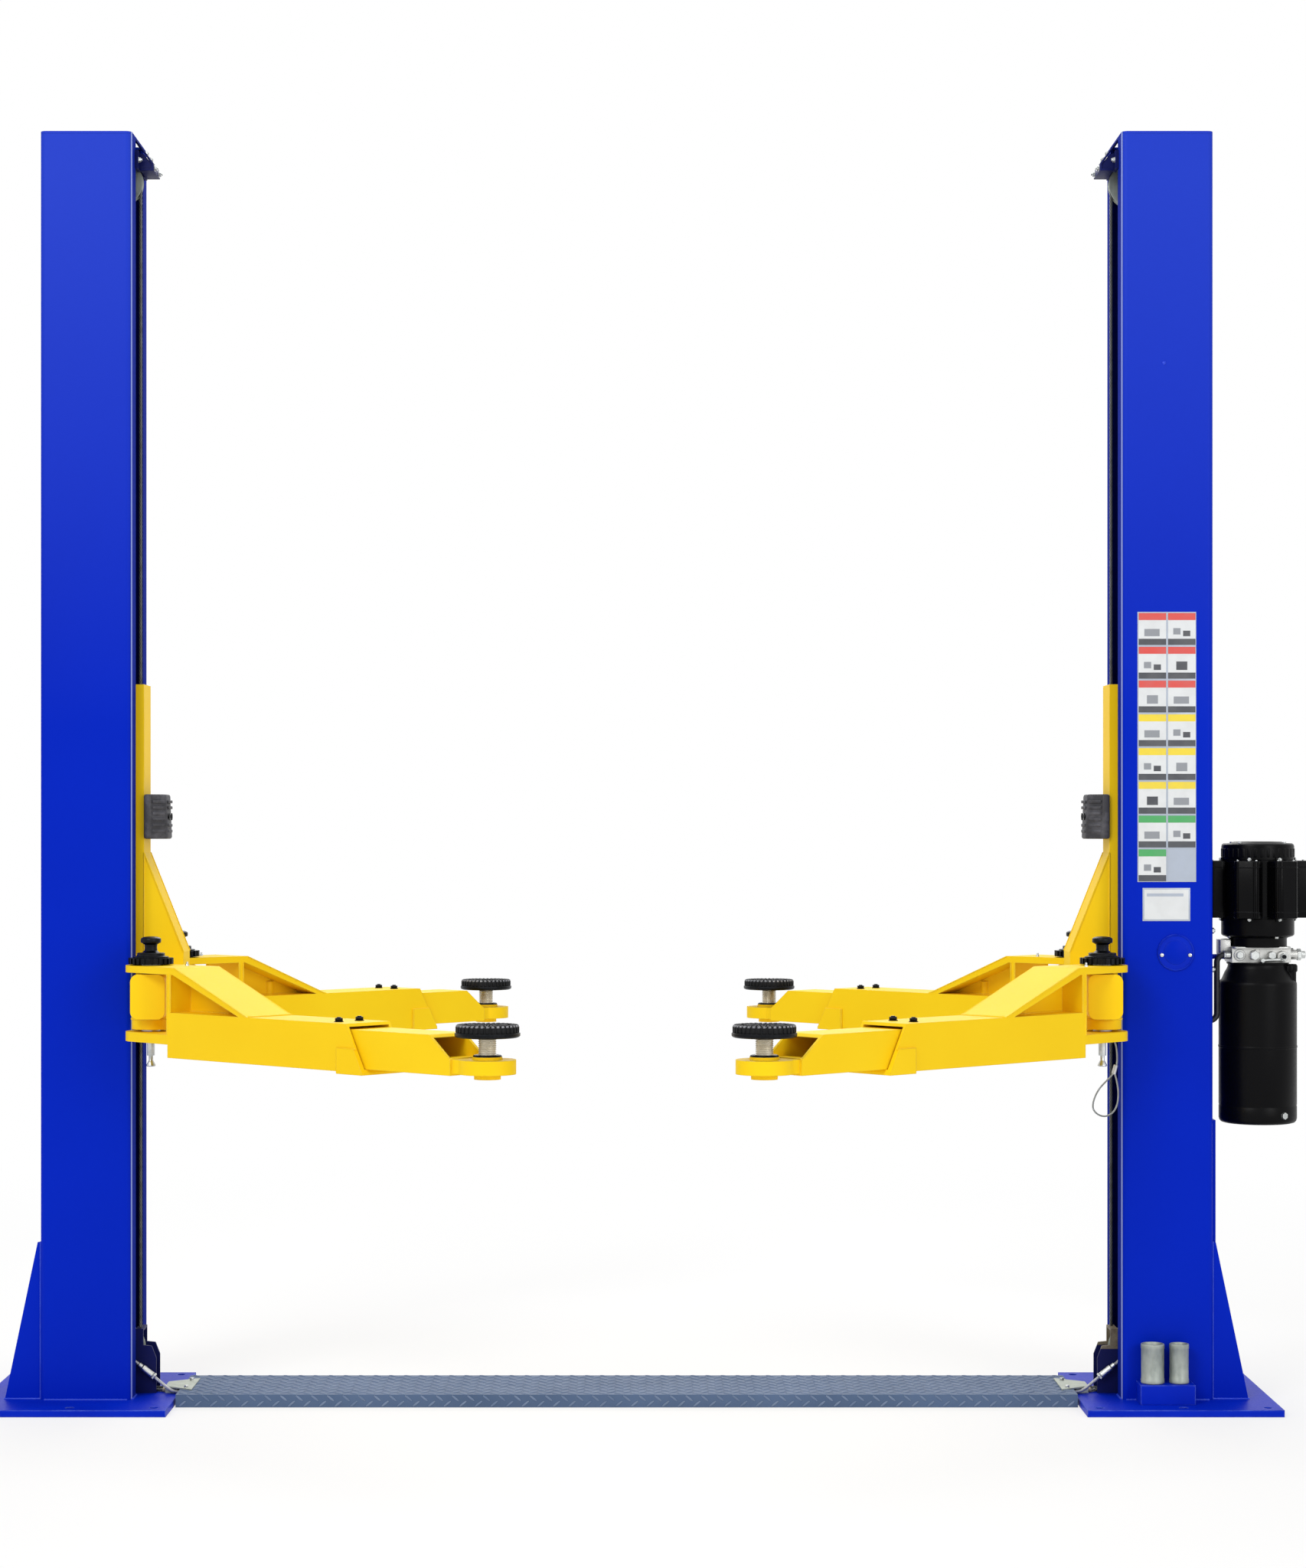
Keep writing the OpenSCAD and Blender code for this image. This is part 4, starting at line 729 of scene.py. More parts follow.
# Base plates and column feet: weld beads, and the rivet high on the right column
footSettings = {"bead": 0.0036, "rivet": (1.2636, 2.4545), "rivetR": 0.0045}


def makeFootWelds():
    half, back, top, lip = lift["halfWidth"], lift["columnBack"], lift["baseTop"], lift["lipX"]
    shapes = []
    for s in sides.values():
        place = mirroredFor(s)
        for y in (-half, half):
            addBead(shapes, [(lip + 0.012, y, top), (back - 0.012, y, top)], footSettings["bead"], place)
            inner = math.copysign(0.106, y)
            addBead(shapes, [(back + 0.002, inner, top), (back + 0.085, inner, top)], footSettings["bead"], place)
            addBead(shapes, [(back + 0.001, inner, top), (back + 0.001, inner, 0.385)], footSettings["bead"] * 0.8, place)
            addBead(shapes, [(lip - 0.001, math.copysign(0.055, y), top), (lip - 0.001, math.copysign(0.108, y), top)],
                    footSettings["bead"], place)
    x, z = footSettings["rivet"]
    r = footSettings["rivetR"]
    addLathe(shapes, [(0, -0.001), (r, -0.001), (r, 0.0004), (r * 0.8, 0.0016), (0, 0.0022)], 20,
             Matrix.Translation((x, -half, z)) @ alongY)
    paint(shapes, 0)
    addPiece(shapes, "footWelds", "frame", ["weldedBlueCoat"], smooth=80)


makeFootWelds()

# Tread plate: rolled lugs on the floor cover's top and skirts, slanted to both hands
treadSettings = {"pitch": 0.0365, "length": 0.0150, "width": 0.0034, "rise": 0.0022, "halfLength": 1.044, "rows": 13}


def makeTread():
    p = treadSettings
    shapes = []
    columns = int(2 * p["halfLength"] / p["pitch"])
    pitch = 2 * p["halfLength"] / columns
    for i in range(columns + 1):
        bm = bmesh.new()
        x = -p["halfLength"] + i * pitch
        for j in range(p["rows"]):  # every other row stands half a pitch along, and slants the other way
            shifted = x + (j % 2) * pitch / 2
            if shifted > p["halfLength"]:
                continue
            place = Matrix.Translation((shifted, -0.117 + j * 0.234 / (p["rows"] - 1), 0.030))
            turn = Matrix.Rotation(math.radians(40 if j % 2 else -40), 4, "Z")
            bmesh.ops.create_icosphere(bm, subdivisions=2, radius=1,
                                       matrix=place @ turn @ Matrix.Diagonal((p["length"], p["width"], p["rise"], 1)))
        for side in (-1, 1):
            for row, z in enumerate((0.0085, 0.0215)):
                shifted = x + row * pitch / 2
                if shifted > p["halfLength"]:
                    continue
                place = Matrix.Translation((shifted, side * 0.128, z)) @ Matrix.Rotation(math.radians(38 if row else -38), 4, "Y")
                bmesh.ops.create_icosphere(bm, subdivisions=2, radius=1,
                                           matrix=place @ Matrix.Diagonal((p["length"] * 0.72, p["rise"], p["width"] * 0.8, 1)))
        addShape(shapes, bm, Matrix.Identity(4))
    paint(shapes, 0)
    addPiece(shapes, "treadLugs", "frame", ["highlitTreadPlate"], smooth=80)


makeTread()

# Guard mouths: the dark clamp under each guard's nose, with its two screws on top
def makeGuardClamps():
    shapes = []
    for s in sides.values():
        place = mirroredFor(s)
        addPrism(shapes, [(1.071, -0.0285), (1.098, -0.0255), (1.098, 0.0255), (1.071, 0.0285)], 0.0165, 0.0298, 0.0015, place)
        addBlock(shapes, (1.098, -0.021, 0.0165), (1.108, 0.021, 0.026), 0.002, place)
    paint(shapes, 0)
    for s in sides.values():
        for y in (-0.048, 0.048):
            addBolt(shapes, (s * 1.046, y, 0.033), (0, 0, 1), 0.006)
    paint(shapes, 1)
    addPiece(shapes, "guardClamps", "frame", ["passivatedPlate", "zincPlatedSteel"])


makeGuardClamps()

# Crossover hoses: pale braided hose with a crimped end, from the column's foot down under the cable guard
crossover = {"y": 0.045, "radius": 0.0038, "crimpR": 0.0082,
             "route": [(1.214, 0.1265), (1.196, 0.1150), (1.163, 0.0900), (1.136, 0.0680), (1.108, 0.0450), (1.092, 0.0318),
                       (1.078, 0.0240), (1.060, 0.0222), (1.034, 0.0200)]}


def makeCrossoverHoses():
    y = crossover["y"]
    shapes = []
    for s in sides.values():
        route = smoothRoute([(s * x, -y, z) for x, z in crossover["route"]], 5)
        addRope(shapes, route, crossover["radius"], 14)
    paint(shapes, 0)
    for s in sides.values():
        first, second = Vector((s * 1.1512, -y, 0.0805)), Vector((s * 1.1262, -y, 0.0600))
        addRod(shapes, first, second, crossover["crimpR"], 18, edge=0.002)
        way = (second - first).normalized()
        addRod(shapes, second, second + way * 0.006, crossover["crimpR"] * 1.15, 6, edge=0.001)
        addRod(shapes, first - way * 0.010, first, crossover["crimpR"] * 0.75, 18, edge=0.001)
        start = Vector((s * 1.214, -y, 0.1265))
        addRod(shapes, start + Vector((0, 0.014, 0)), start + Vector((0, -0.006, 0)), 0.0095, 6, edge=0.001)
    paint(shapes, 1)
    addPiece(shapes, "crossoverHoses", "frame", ["braidedHose", "zincPlatedSteel"])


makeCrossoverHoses()
print("feet and floor cover detailed")

# Column tops: sloped strap and bracket over the upper pulleys, with bright bolts on their inner faces
topSettings = {"half": 0.052, "bolt": 0.0068}


def makeTopBrackets():
    p = topSettings
    for side, s in sides.items():
        place = turnedFor(s)
        shapes = []
        strap = [(1.1655, 2.9965), (1.1655, 2.9895), (1.1285, 2.9375), (1.1285, 2.9265), (1.1565, 2.9265), (1.1565, 2.9215),
                 (1.1235, 2.9215), (1.1235, 2.9395)]
        addPrism(shapes, strap, -p["half"], p["half"], 0.0012, place @ alongY)
        for y in (-p["half"] + 0.004, p["half"] - 0.009):
            ear = [(1.1265, 2.9245), (1.1575, 2.9245), (1.1575, 2.9630), (1.1470, 2.9610), (1.1270, 2.9365)]
            addPrism(shapes, ear, -y - 0.005, -y, 0.0, place @ alongY)
        paint(shapes, 0)
        for y in (-0.034, 0.034):
            addBolt(shapes, (1.1235, y, 2.9305), (-1, 0, 0), p["bolt"], place, 0.004)
            addBolt(shapes, (1.1450, y, 2.9637), (-0.815, 0, 0.58), p["bolt"], place, 0.002)
        for y in (-0.0615, 0.0615):
            addBolt(shapes, (1.157, y, 2.9445), (-1, 0, 0), p["bolt"], place, 0.003)
        paint(shapes, 1)
        addPiece(shapes, f"{side}_topBracket", "frame", ["navyBracketCoat", "zincPlatedSteel"])


makeTopBrackets()

# Inspection covers: pressed rim and two pan head screws
def makeCoverScrews():
    shapes = []
    for s in sides.values():
        place = turnedFor(s) @ Matrix.Translation((1.291, -0.123, 1.068)) @ alongY
        addLathe(shapes, [(0.040, -0.001), (0.0425, -0.001), (0.0428, 0.0006), (0.0415, 0.0018), (0.0395, 0.0010), (0.040, -0.001)],
                 64, place)
        addLathe(shapes, [(0, -0.001), (0.0285, -0.001), (0.0285, 0.0004), (0.0270, 0.0014), (0, 0.0018)], 56, place)
    paint(shapes, 0)
    for s in sides.values():
        for x, y in ((-0.033, -0.006), (0.033, -0.006)):
            place = turnedFor(s) @ Matrix.Translation((1.291 + x, -0.123, 1.068 + y)) @ alongY
            addLathe(shapes, [(0, -0.001), (0.0048, -0.001), (0.0050, 0.0008), (0.0040, 0.0024), (0.0018, 0.0030), (0.0016, 0.0016),
                          (0, 0.0016)], 18, place)
    paint(shapes, 1)
    addPiece(shapes, "coverScrews", "frame", ["bluePowderCoat", "zincPlatedSteel"])


makeCoverScrews()

# Blank information sheet: two rows of eight panels with coloured head bands and dark foot bands, nothing printed
sheetSettings = {"x": (1.2010, 1.3390), "z": (1.2340, 1.8690), "thick": 0.0007, "gap": 0.0028,
                 "bands": ["redFilm", "redFilm", "redFilm", "yellowFilm", "yellowFilm", "yellowFilm", "greenFilm", "greenFilm"]}


def makeSheet():
    p = sheetSettings
    names = ["plainFilm", "redFilm", "yellowFilm", "greenFilm", "darkFilm", "greyFilm", "patchFilm"]
    face = -lift["halfWidth"]
    shapes = []
    x0, x1 = p["x"]
    z0, z1 = p["z"]
    addPrism(shapes, [(x0, z0), (x1, z0), (x1, z1), (x0, z1)], -face - 0.0002, -face + p["thick"], 0.0002, alongY)
    paint(shapes, 5)
    wide, tall = (x1 - x0) / 2, (z1 - z0) / 8
    up = -face + p["thick"]

    def panel(ax, az, bx, bz, rise, colour):
        addPrism(shapes, [(ax, az), (bx, az), (bx, bz), (ax, bz)], up - 0.0002, up + rise, 0.0, alongY)
        paint(shapes, names.index(colour))

    for column in range(2):
        for row in range(8):
            ax = x0 + column * wide + p["gap"]
            bx = ax + wide - 1.6 * p["gap"]
            bz = z1 - row * tall - p["gap"]
            az = bz - tall + 1.6 * p["gap"]
            if row == 7 and column == 1:
                panel(ax, az, bx, bz, 0.0002, "greyFilm")
                continue
            panel(ax, az, bx, bz, 0.0002, "plainFilm")
            panel(ax, bz - 0.0165, bx, bz, 0.0004, p["bands"][row])
            panel(ax, az, bx, az + 0.0145, 0.0004, "darkFilm")
            middle = (ax + bx) / 2
            low = az + 0.0205
            if (row + column) % 3 == 0:
                panel(middle - 0.019, low, middle + 0.017, low + 0.017, 0.0004, "patchFilm")
            elif (row + column) % 3 == 1:
                panel(middle - 0.020, low + 0.004, middle - 0.003, low + 0.019, 0.0004, "patchFilm")
                panel(middle + 0.003, low, middle + 0.020, low + 0.013, 0.0004, "darkFilm")
            else:
                panel(middle - 0.013, low, middle + 0.013, low + 0.020, 0.0004, "darkFilm" if row % 2 else "patchFilm")
    x0, x1, z0, z1 = 1.2130, 1.3250, 1.1420, 1.2200
    addPrism(shapes, [(x0, z0), (x1, z0), (x1, z1), (x0, z1)], -face - 0.0002, -face + p["thick"], 0.0002, alongY)
    paint(shapes, 5)
    panel(x0 + 0.004, z0 + 0.004, x1 - 0.004, z1 - 0.004, 0.0003, "plainFilm")
    panel(x0 + 0.010, z1 - 0.020, x1 - 0.016, z1 - 0.013, 0.0005, "greyFilm")
    addPiece(shapes, "blankSheet", "frame", names)


makeSheet()
print("column details made")

# Height adapters: cut tube with turned rims and a step inside
def makeAdapters():
    shapes = []
    for x, r in ((1.231, 0.0275), (1.293, 0.0230)):
        place = Matrix.Translation((x, -0.153, 0.0623))
        profile = [(r - 0.0055, 0.001), (r - 0.003, 0), (r - 0.0012, 0), (r, 0.0015), (r, 0.0100), (r - 0.0008, 0.0112),
                   (r - 0.0008, 0.0800), (r, 0.0812), (r, 0.0905), (r - 0.0012, 0.0920), (r - 0.0035, 0.0920),
                   (r - 0.0045, 0.0905), (r - 0.0055, 0.0780), (r - 0.0060, 0.0775), (r - 0.0060, 0.004), (r - 0.0055, 0.001)]
        addLathe(shapes, profile, 48, place)
    paint(shapes, 0)
    addPiece(shapes, "heightAdapters", "frame", ["galvanisedTube"], ["height_adapters"])


makeAdapters()

# Door guards: moulded rubber block with ribbed slants and two sunk bolts
guardSettings = {"x": 1.1455, "half": 0.062, "z": (1.335, 1.441), "straight": 0.016, "depth": 0.054, "slant": 0.028}


def makeDoorGuards():
    p = guardSettings
    z0, z1 = p["z"]
    x1, w = p["x"], p["half"]
    x0, xs, wi = x1 - p["depth"], x1 - p["straight"], w - p["slant"]
    for side, s in sides.items():
        shapes = []
        bm = addPrism(shapes, [(x1, -w), (xs, -w), (x0, -wi), (x0, wi), (xs, w), (x1, w)], z0, z1, 0.0050)
        for v in bm.verts:  # the slants fall back a little towards the top
            if v.co.z > z1 - 0.012 and v.co.x < xs - 0.004:
                v.co.x += 0.004
        paint(shapes, 0)
        for e in (-1, 1):
            start, end = Vector((xs, e * w, 0)), Vector((x0, e * wi, 0))
            along = (end - start).normalized()
            out = Vector((-along.y * -e, along.x * -e, 0)) * -1
            if out.y * e < 0:
                out = -out
            frameOf = Matrix(((along.x, 0, out.x, 0), (along.y, 0, out.y, 0), (0, 1, 0, 0), (0, 0, 0, 1)))
            length = (end - start).length
            for i in range(6):
                z = z0 + 0.0150 + i * 0.0140
                middle = start + along * 0.006
                addBlock(shapes, (0, z, -0.002), (length - 0.014, z + 0.0070, 0.0016), 0.0012, Matrix.Translation(middle) @ frameOf)
        for i in range(6):
            z = z0 + 0.0150 + i * 0.0140
            if i in (2, 3):
                continue
            addBlock(shapes, (x0 - 0.0016, -wi + 0.006, z), (x0 + 0.002, wi - 0.006, z + 0.0070), 0.0012)
        paint(shapes, 0)
        for y in (-0.017, 0.017):
            addLathe(shapes, [(0, 0), (0.004, 0), (0.0045, 0.0012), (0.0085, 0.0014), (0.0088, 0.0032), (0.0078, 0.0036),
                          (0.0048, 0.0036), (0.0040, 0.0016), (0, 0.0016)], 20,
                     Matrix.Translation((x0 + 0.0012, y, (z0 + z1) / 2)) @ Matrix.Rotation(-math.pi / 2, 4, "Y"))
        paint(shapes, 1)
        for shape in shapes:
            bmesh.ops.transform(shape["bm"], matrix=mirroredFor(s), verts=shape["bm"].verts)
        addPiece(shapes, f"{side}_doorGuardRubber", f"{side}_lift", ["guardRubber", "blackenedSteel"],
                 [f"{side}_door_guard"])


makeDoorGuards()

# Carriages: weld beads down the flare and along the beam, and grease nipples
def makeCarriageWelds():
    for side, s in sides.items():
        place = mirroredFor(s)
        shapes = []
        for y in (-0.0505, 0.0505):
            addBead(shapes, [(1.1455, y, 1.3010), (1.0525, y, 1.0675)], 0.0024, place)
            addBead(shapes, [(1.0530, y, 1.0245), (1.1420, y, 1.0245)], 0.0036, place)
            addBead(shapes, [(1.1460, y, 1.0260), (1.1460, y, 1.3000)], 0.0022, place)
        addBead(shapes, [(1.0515, -0.048, 1.0250), (1.0515, 0.048, 1.0250)], 0.0034, place)
        for y in (-0.215, 0.215):
            ring = [(1.104 + 0.0445 * math.cos(a * tau / 16), y + 0.0445 * math.sin(a * tau / 16), 0.9185) for a in range(17)]
            addBead(shapes, ring, 0.0028, place)
        paint(shapes, 0)
        for y in (-0.150, 0.150):
            addLathe(shapes, [(0, -0.001), (0.0038, -0.001), (0.0038, 0.0035), (0.0022, 0.0045), (0.0026, 0.0065), (0.0024, 0.0085),
                          (0, 0.0095)], 14, place @ Matrix.Translation((1.062, y, 0.978)) @ Matrix.Rotation(-math.pi / 2, 4, "Y"))
        paint(shapes, 1)
        addPiece(shapes, f"{side}_carriageWelds", f"{side}_lift", ["yellowPowderCoat", "zincPlatedSteel"], smooth=80)


makeCarriageWelds()

# Swing arms: weld beads, stop bolts and a grease nipple on the outer tube; stop ring on the inner tube's tip
armSettings = {"half": 0.065, "foot": 0.150, "slopeEnd": 0.418, "forkTop": 1.043, "tubeTop": 0.941, "tubeLow": 0.838}


def makeArmDetails():
    p = armSettings
    w = p["half"]
    for (side, end), (s, e) in armEnds.items():
        place = armPlace(side, end)
        shapes = []
        for y in (-w, w):
            addBead(shapes, [(0.166, y * 0.998, 1.0415), (0.412, y * 0.998, 0.9425)], 0.0022, place)
            addBead(shapes, [(0.1505, y, 0.9430), (0.1505, y, 1.0260)], 0.0030, place)
            addBead(shapes, [(0.1390, y * 0.99, 0.8900), (0.1390, y * 0.99, 1.0260)], 0.0030, place)
            addBead(shapes, [(0.7150, y * 1.01, 0.8880), (0.7710, y * 1.01, 0.8880)], 0.0026, place)
            addBead(shapes, [(0.7140, y * 1.03, 0.8360), (0.7140, y * 1.03, 0.8870)], 0.0026, place)
        addBead(shapes, [(0.4190, -w + 0.003, 0.9415), (0.4190, w - 0.003, 0.9415)], 0.0032, place)
        for y in (-0.0055, 0.0055):
            addBead(shapes, [(0.1510, y, 0.9420), (0.3800, y, 0.9420)], 0.0026, place)
        post = [(0.284 + 0.0130 * math.cos(a * tau / 12), 0.0130 * math.sin(a * tau / 12), 0.9415) for a in range(13)]
        addBead(shapes, post, 0.0024, place)
        paint(shapes, 0)
        for y in (-0.030, 0.030):
            addBolt(shapes, (0.680, y, p["tubeTop"]), (0, 0, 1), 0.0100, place, 0.002)
        paint(shapes, 1)
        addLathe(shapes, [(0, -0.001), (0.0040, -0.001), (0.0040, 0.0035), (0.0022, 0.0045), (0.0026, 0.0065), (0.0024, 0.0085),
                      (0, 0.0095)], 14, place @ Matrix.Translation((0.095, 0.030, p["forkTop"])))
        paint(shapes, 2)
        addPiece(shapes, f"{side}_{end}_armWelds", f"{side}_{end}_swing_arm", ["yellowPowderCoat", "blackenedSteel", "zincPlatedSteel"],
                 smooth=80)
        place = place @ Matrix.Translation((armLength[end], 0, 0))
        shapes = []
        addLathe(shapes, [(0.0197, 0.8848), (0.0300, 0.8848), (0.0302, 0.8862), (0.0290, 0.8886), (0.0270, 0.8892),
                      (0.0205, 0.8892), (0.0197, 0.8884), (0.0197, 0.8848)], 48, place)
        paint(shapes, 0)
        addBead(shapes, [(-0.0575, -0.050, 0.8795), (-0.0575, 0.050, 0.8795)], 0.0026, place)
        ring = [(0.0312 * math.cos(a * tau / 18), 0.0312 * math.sin(a * tau / 18), 0.8797) for a in range(19)]
        addBead(shapes, ring, 0.0020, place)
        paint(shapes, 1)
        addPiece(shapes, f"{side}_{end}_tipDetails", f"{side}_{end}_extension", ["blackenedSteel", "yellowPowderCoat"],
                 smooth=60)


makeArmDetails()
print("carriages and arms detailed")

# Power unit: pressed motor shell, box housings, cast valve block's fittings and the black tank
unitSettings = {"x": 1.508, "motorLow": 1.0770, "motorTop": 1.3290, "motorR": 0.0860, "boxLow": 1.1470, "boxTop": 1.2830,
                "boxHalf": 0.0320, "boxReach": 0.1270, "tankLow": 0.6580, "tankR": 0.0920}


def roundedOutline(x0, x1, half, r, steps=5):
    points = []
    for cx, cy, start in ((x1 - r, half - r, 0), (x0 + r, half - r, 90), (x0 + r, -half + r, 180), (x1 - r, -half + r, 270)):
        for i in range(steps + 1):
            a = math.radians(start + 90 * i / steps)
            points.append((cx + r * math.cos(a), cy + r * math.sin(a)))
    return points


def makeMotor():
    p = unitSettings
    low, top, r = p["motorLow"], p["motorTop"], p["motorR"]
    place = Matrix.Translation((p["x"], 0, 0))
    shapes = []
    profile = [(0, low), (0.0675, low), (0.0685, low + 0.001), (0.0685, low + 0.0200), (0.0700, low + 0.0225), (0.0820, low + 0.0265),
               (r - 0.0008, low + 0.0290), (r, low + 0.0320), (r, low + 0.0680), (r - 0.0014, low + 0.0690), (r - 0.0014, low + 0.0715),
               (r - 0.0006, low + 0.0725), (r - 0.0006, top - 0.0480), (r - 0.0014, top - 0.0470), (r - 0.0014, top - 0.0445),
               (r - 0.0004, top - 0.0435), (r - 0.0004, top - 0.0120), (r - 0.0016, top - 0.0075), (r - 0.0060, top - 0.0045),
               (0.0640, top - 0.0040), (0.0600, top - 0.0022), (0.0560, top - 0.0006), (0.0300, top), (0, top)]
    addLathe(shapes, profile, 96, place)
    for i in range(36):  # cooling slots' raised louvres round the cap
        turn = place @ Matrix.Rotation(tau * (i + 0.5) / 36, 4, "Z")
        addBlock(shapes, (r - 0.0020, -0.0030, top - 0.0370), (r + 0.0006, 0.0030, top - 0.0170), 0.0006, turn)
    paint(shapes, 0)
    for i in range(4):
        a = math.radians(45 + 90 * i)
        spot = (p["x"] + 0.0755 * math.cos(a), 0.0755 * math.sin(a), top - 0.0046)
        addBolt(shapes, spot, (0, 0, 1), 0.0042)
    for i in range(4):
        a = math.radians(22 + 90 * i)
        spot = (p["x"] + 0.0800 * math.cos(a), 0.0800 * math.sin(a), low + 0.0262)
        addBolt(shapes, spot, (0, 0, -1), 0.0050)
    paint(shapes, 1)
    addPiece(shapes, "motorShell", "frame", ["blackEnamel", "zincPlatedSteel"], ["motor"])


def makeHousings():
    p = unitSettings
    low, top, w = p["boxLow"], p["boxTop"], p["boxHalf"]
    shapes = []
    for angle in (-114, -66, 0, 180):
        place = Matrix.Translation((p["x"], 0, 0)) @ Matrix.Rotation(math.radians(angle), 4, "Z")
        outline = roundedOutline(0.0740, p["boxReach"] - 0.0006, w - 0.0004, 0.0160)
        addPrism(shapes, outline, low, top, 0.0030, place)
        for z in (low + 0.0150, top - 0.0150):
            addPrism(shapes, roundedOutline(0.0800, p["boxReach"], w, 0.0160), z - 0.0012, z + 0.0012, 0.0006, place)
        for z0, z1 in ((low - 0.0080, low + 0.0040), (top - 0.0040, top + 0.0080)):
            addBlock(shapes, (0.0840, -0.0100, z0), (0.0885, 0.0100, z1), 0.0012, place)
    paint(shapes, 0)
    for angle in (-114, -66, 0, 180):
        place = Matrix.Translation((p["x"], 0, 0)) @ Matrix.Rotation(math.radians(angle), 4, "Z")
        for z in (low - 0.0030, top + 0.0030):
            addBolt(shapes, (0.0885, 0, z), (1, 0, 0), 0.0042, place)
        for y in (-w + 0.010, w - 0.010):
            addBolt(shapes, (p["boxReach"] - 0.0140, y, top - 0.0004), (0, 0, 1), 0.0032, place)
    paint(shapes, 1)
    addPiece(shapes, "capacitorBoxes", "frame", ["blackEnamel", "zincPlatedSteel"], ["capacitor_housings"])


def makeValveDetails():
    x = unitSettings["x"]
    shapes = []
    addPrism(shapes, roundedOutline(-0.0700, 0.0700, 0.0550, 0.0140), 1.0740, 1.0790, 0.0010, Matrix.Translation((x, 0, 0)))
    addBlock(shapes, (1.4130, -0.0240, 1.0585), (1.4400, 0.0240, 1.0960), 0.0030)
    addRod(shapes, (x - 0.052, -0.0440, 1.0590), (x - 0.052, -0.0480, 1.0590), 0.0140, 24, edge=0.001)
    addRod(shapes, (x + 0.048, -0.0440, 1.0560), (x + 0.048, -0.0620, 1.0560), 0.0135, 28, edge=0.0015)
    addRod(shapes, (x - 0.010, -0.0440, 1.0680), (x - 0.010, -0.0475, 1.0680), 0.0070, 20, edge=0.001)
    paint(shapes, 0)
    addRod(shapes, (x - 0.052, -0.0480, 1.0590), (x - 0.052, -0.0560, 1.0590), 0.0095, 6, edge=0.001)
    addRod(shapes, (x + 0.000, -0.0600, 1.0465), (x + 0.043, -0.0600, 1.0495), 0.0042, 18, edge=0.001)
    addRod(shapes, (x + 0.043, -0.0600, 1.0495), (x + 0.052, -0.0600, 1.0501), 0.0058, 18, edge=0.001)
    addRod(shapes, (x + 0.000, -0.0440, 1.0465), (x + 0.000, -0.0640, 1.0465), 0.0060, 6, edge=0.0008)
    addRod(shapes, (x + 0.048, -0.0620, 1.0560), (x + 0.048, -0.0700, 1.0560), 0.0085, 6, edge=0.001)
    addRod(shapes, (x - 0.020, -0.0640, 1.0590), (x - 0.020, -0.0720, 1.0590), 0.0120, 6, edge=0.001)
    addRod(shapes, (x + 0.022, -0.0600, 1.0590), (x + 0.022, -0.0660, 1.0590), 0.0100, 6, edge=0.001)
    addRod(shapes, (x + 0.0900, -0.014, 1.0590), (x + 0.1000, -0.014, 1.0590), 0.0140, 6, edge=0.001)
    addRod(shapes, (x + 0.1000, -0.014, 1.0590), (x + 0.1100, -0.014, 1.0590), 0.0090, 20, edge=0.001)
    addRod(shapes, (1.4360, -0.034, 1.0590), (1.4240, -0.034, 1.0590), 0.0095, 22, edge=0.001)
    addRod(shapes, (1.4240, -0.034, 1.0590), (1.4200, -0.034, 1.0590), 0.0105, 6, edge=0.0008)
    for z in (1.0250, 1.1170):
        for y in (-0.045, 0.045):
            addBolt(shapes, (1.388, y, z), (1, 0, 0), 0.0080, stud=0.003)
    paint(shapes, 1)
    addRod(shapes, (x + 0.0480, -0.0700, 1.0560), (x + 0.0480, -0.0780, 1.0560), 0.0050, 16, edge=0.001)
    addRod(shapes, (x + 0.0900, 0.020, 1.0600), (x + 0.0700, 0.020, 1.0600), 0.0130, 20, edge=0.002)
    paint(shapes, 2)
    addPiece(shapes, "valveFittings", "frame", ["castAluminium", "zincPlatedSteel", "blackenedSteel"])


def makeTank():
    low, r = unitSettings["tankLow"], unitSettings["tankR"]
    place = Matrix.Translation((unitSettings["x"], 0, 0))
    shapes = []
    profile = [(0, low + 0.003), (0.060, low + 0.003), (0.066, low), (r - 0.0120, low), (r - 0.0050, low + 0.0020),
               (r - 0.0015, low + 0.0060), (r, low + 0.0120), (r, low + 0.0400), (r - 0.0006, low + 0.0410), (r - 0.0006, low + 0.0435),
               (r, low + 0.0445), (r, low + 0.1790), (r + 0.0010, low + 0.1802), (r + 0.0010, low + 0.1838), (r, low + 0.1850),
               (r, low + 0.3290), (r - 0.0004, low + 0.3340), (r - 0.0025, low + 0.3385), (r - 0.0070, low + 0.3425),
               (0.0780, low + 0.3590), (0.0725, low + 0.3680), (0.0705, low + 0.3745), (0.0705, low + 0.3780), (0.0730, low + 0.3790),
               (0.0735, low + 0.3800), (0.0735, low + 0.3828), (0, low + 0.3828)]
    addLathe(shapes, profile, 96, place)
    cap = place @ Matrix.Rotation(math.radians(-20), 4, "Z") @ Matrix.Translation((0.0760, 0, 0))
    addLathe(shapes, [(0, 0.990), (0.0150, 0.990), (0.0150, 1.0180), (0.0165, 1.0185), (0.0170, 1.0200), (0.0170, 1.0340),
                  (0.0150, 1.0370), (0, 1.0375)], 28, cap)
    for i in range(14):
        addBlock(shapes, (0.0160, -0.0012, 1.0205), (0.0178, 0.0012, 1.0335), 0.0004, cap @ Matrix.Rotation(tau * i / 14, 4, "Z"))
    paint(shapes, 0)
    drain = place @ Matrix.Rotation(math.radians(-60), 4, "Z")
    addRod(shapes, (r - 0.002, 0, low + 0.022), (r + 0.006, 0, low + 0.022), 0.0085, 6, edge=0.001, place=drain)
    paint(shapes, 1)
    addPiece(shapes, "tankShell", "frame", ["tankEnamel", "zincPlatedSteel"], ["oil_tank"])


makeMotor()
makeHousings()
makeValveDetails()
makeTank()
print("power unit detailed")

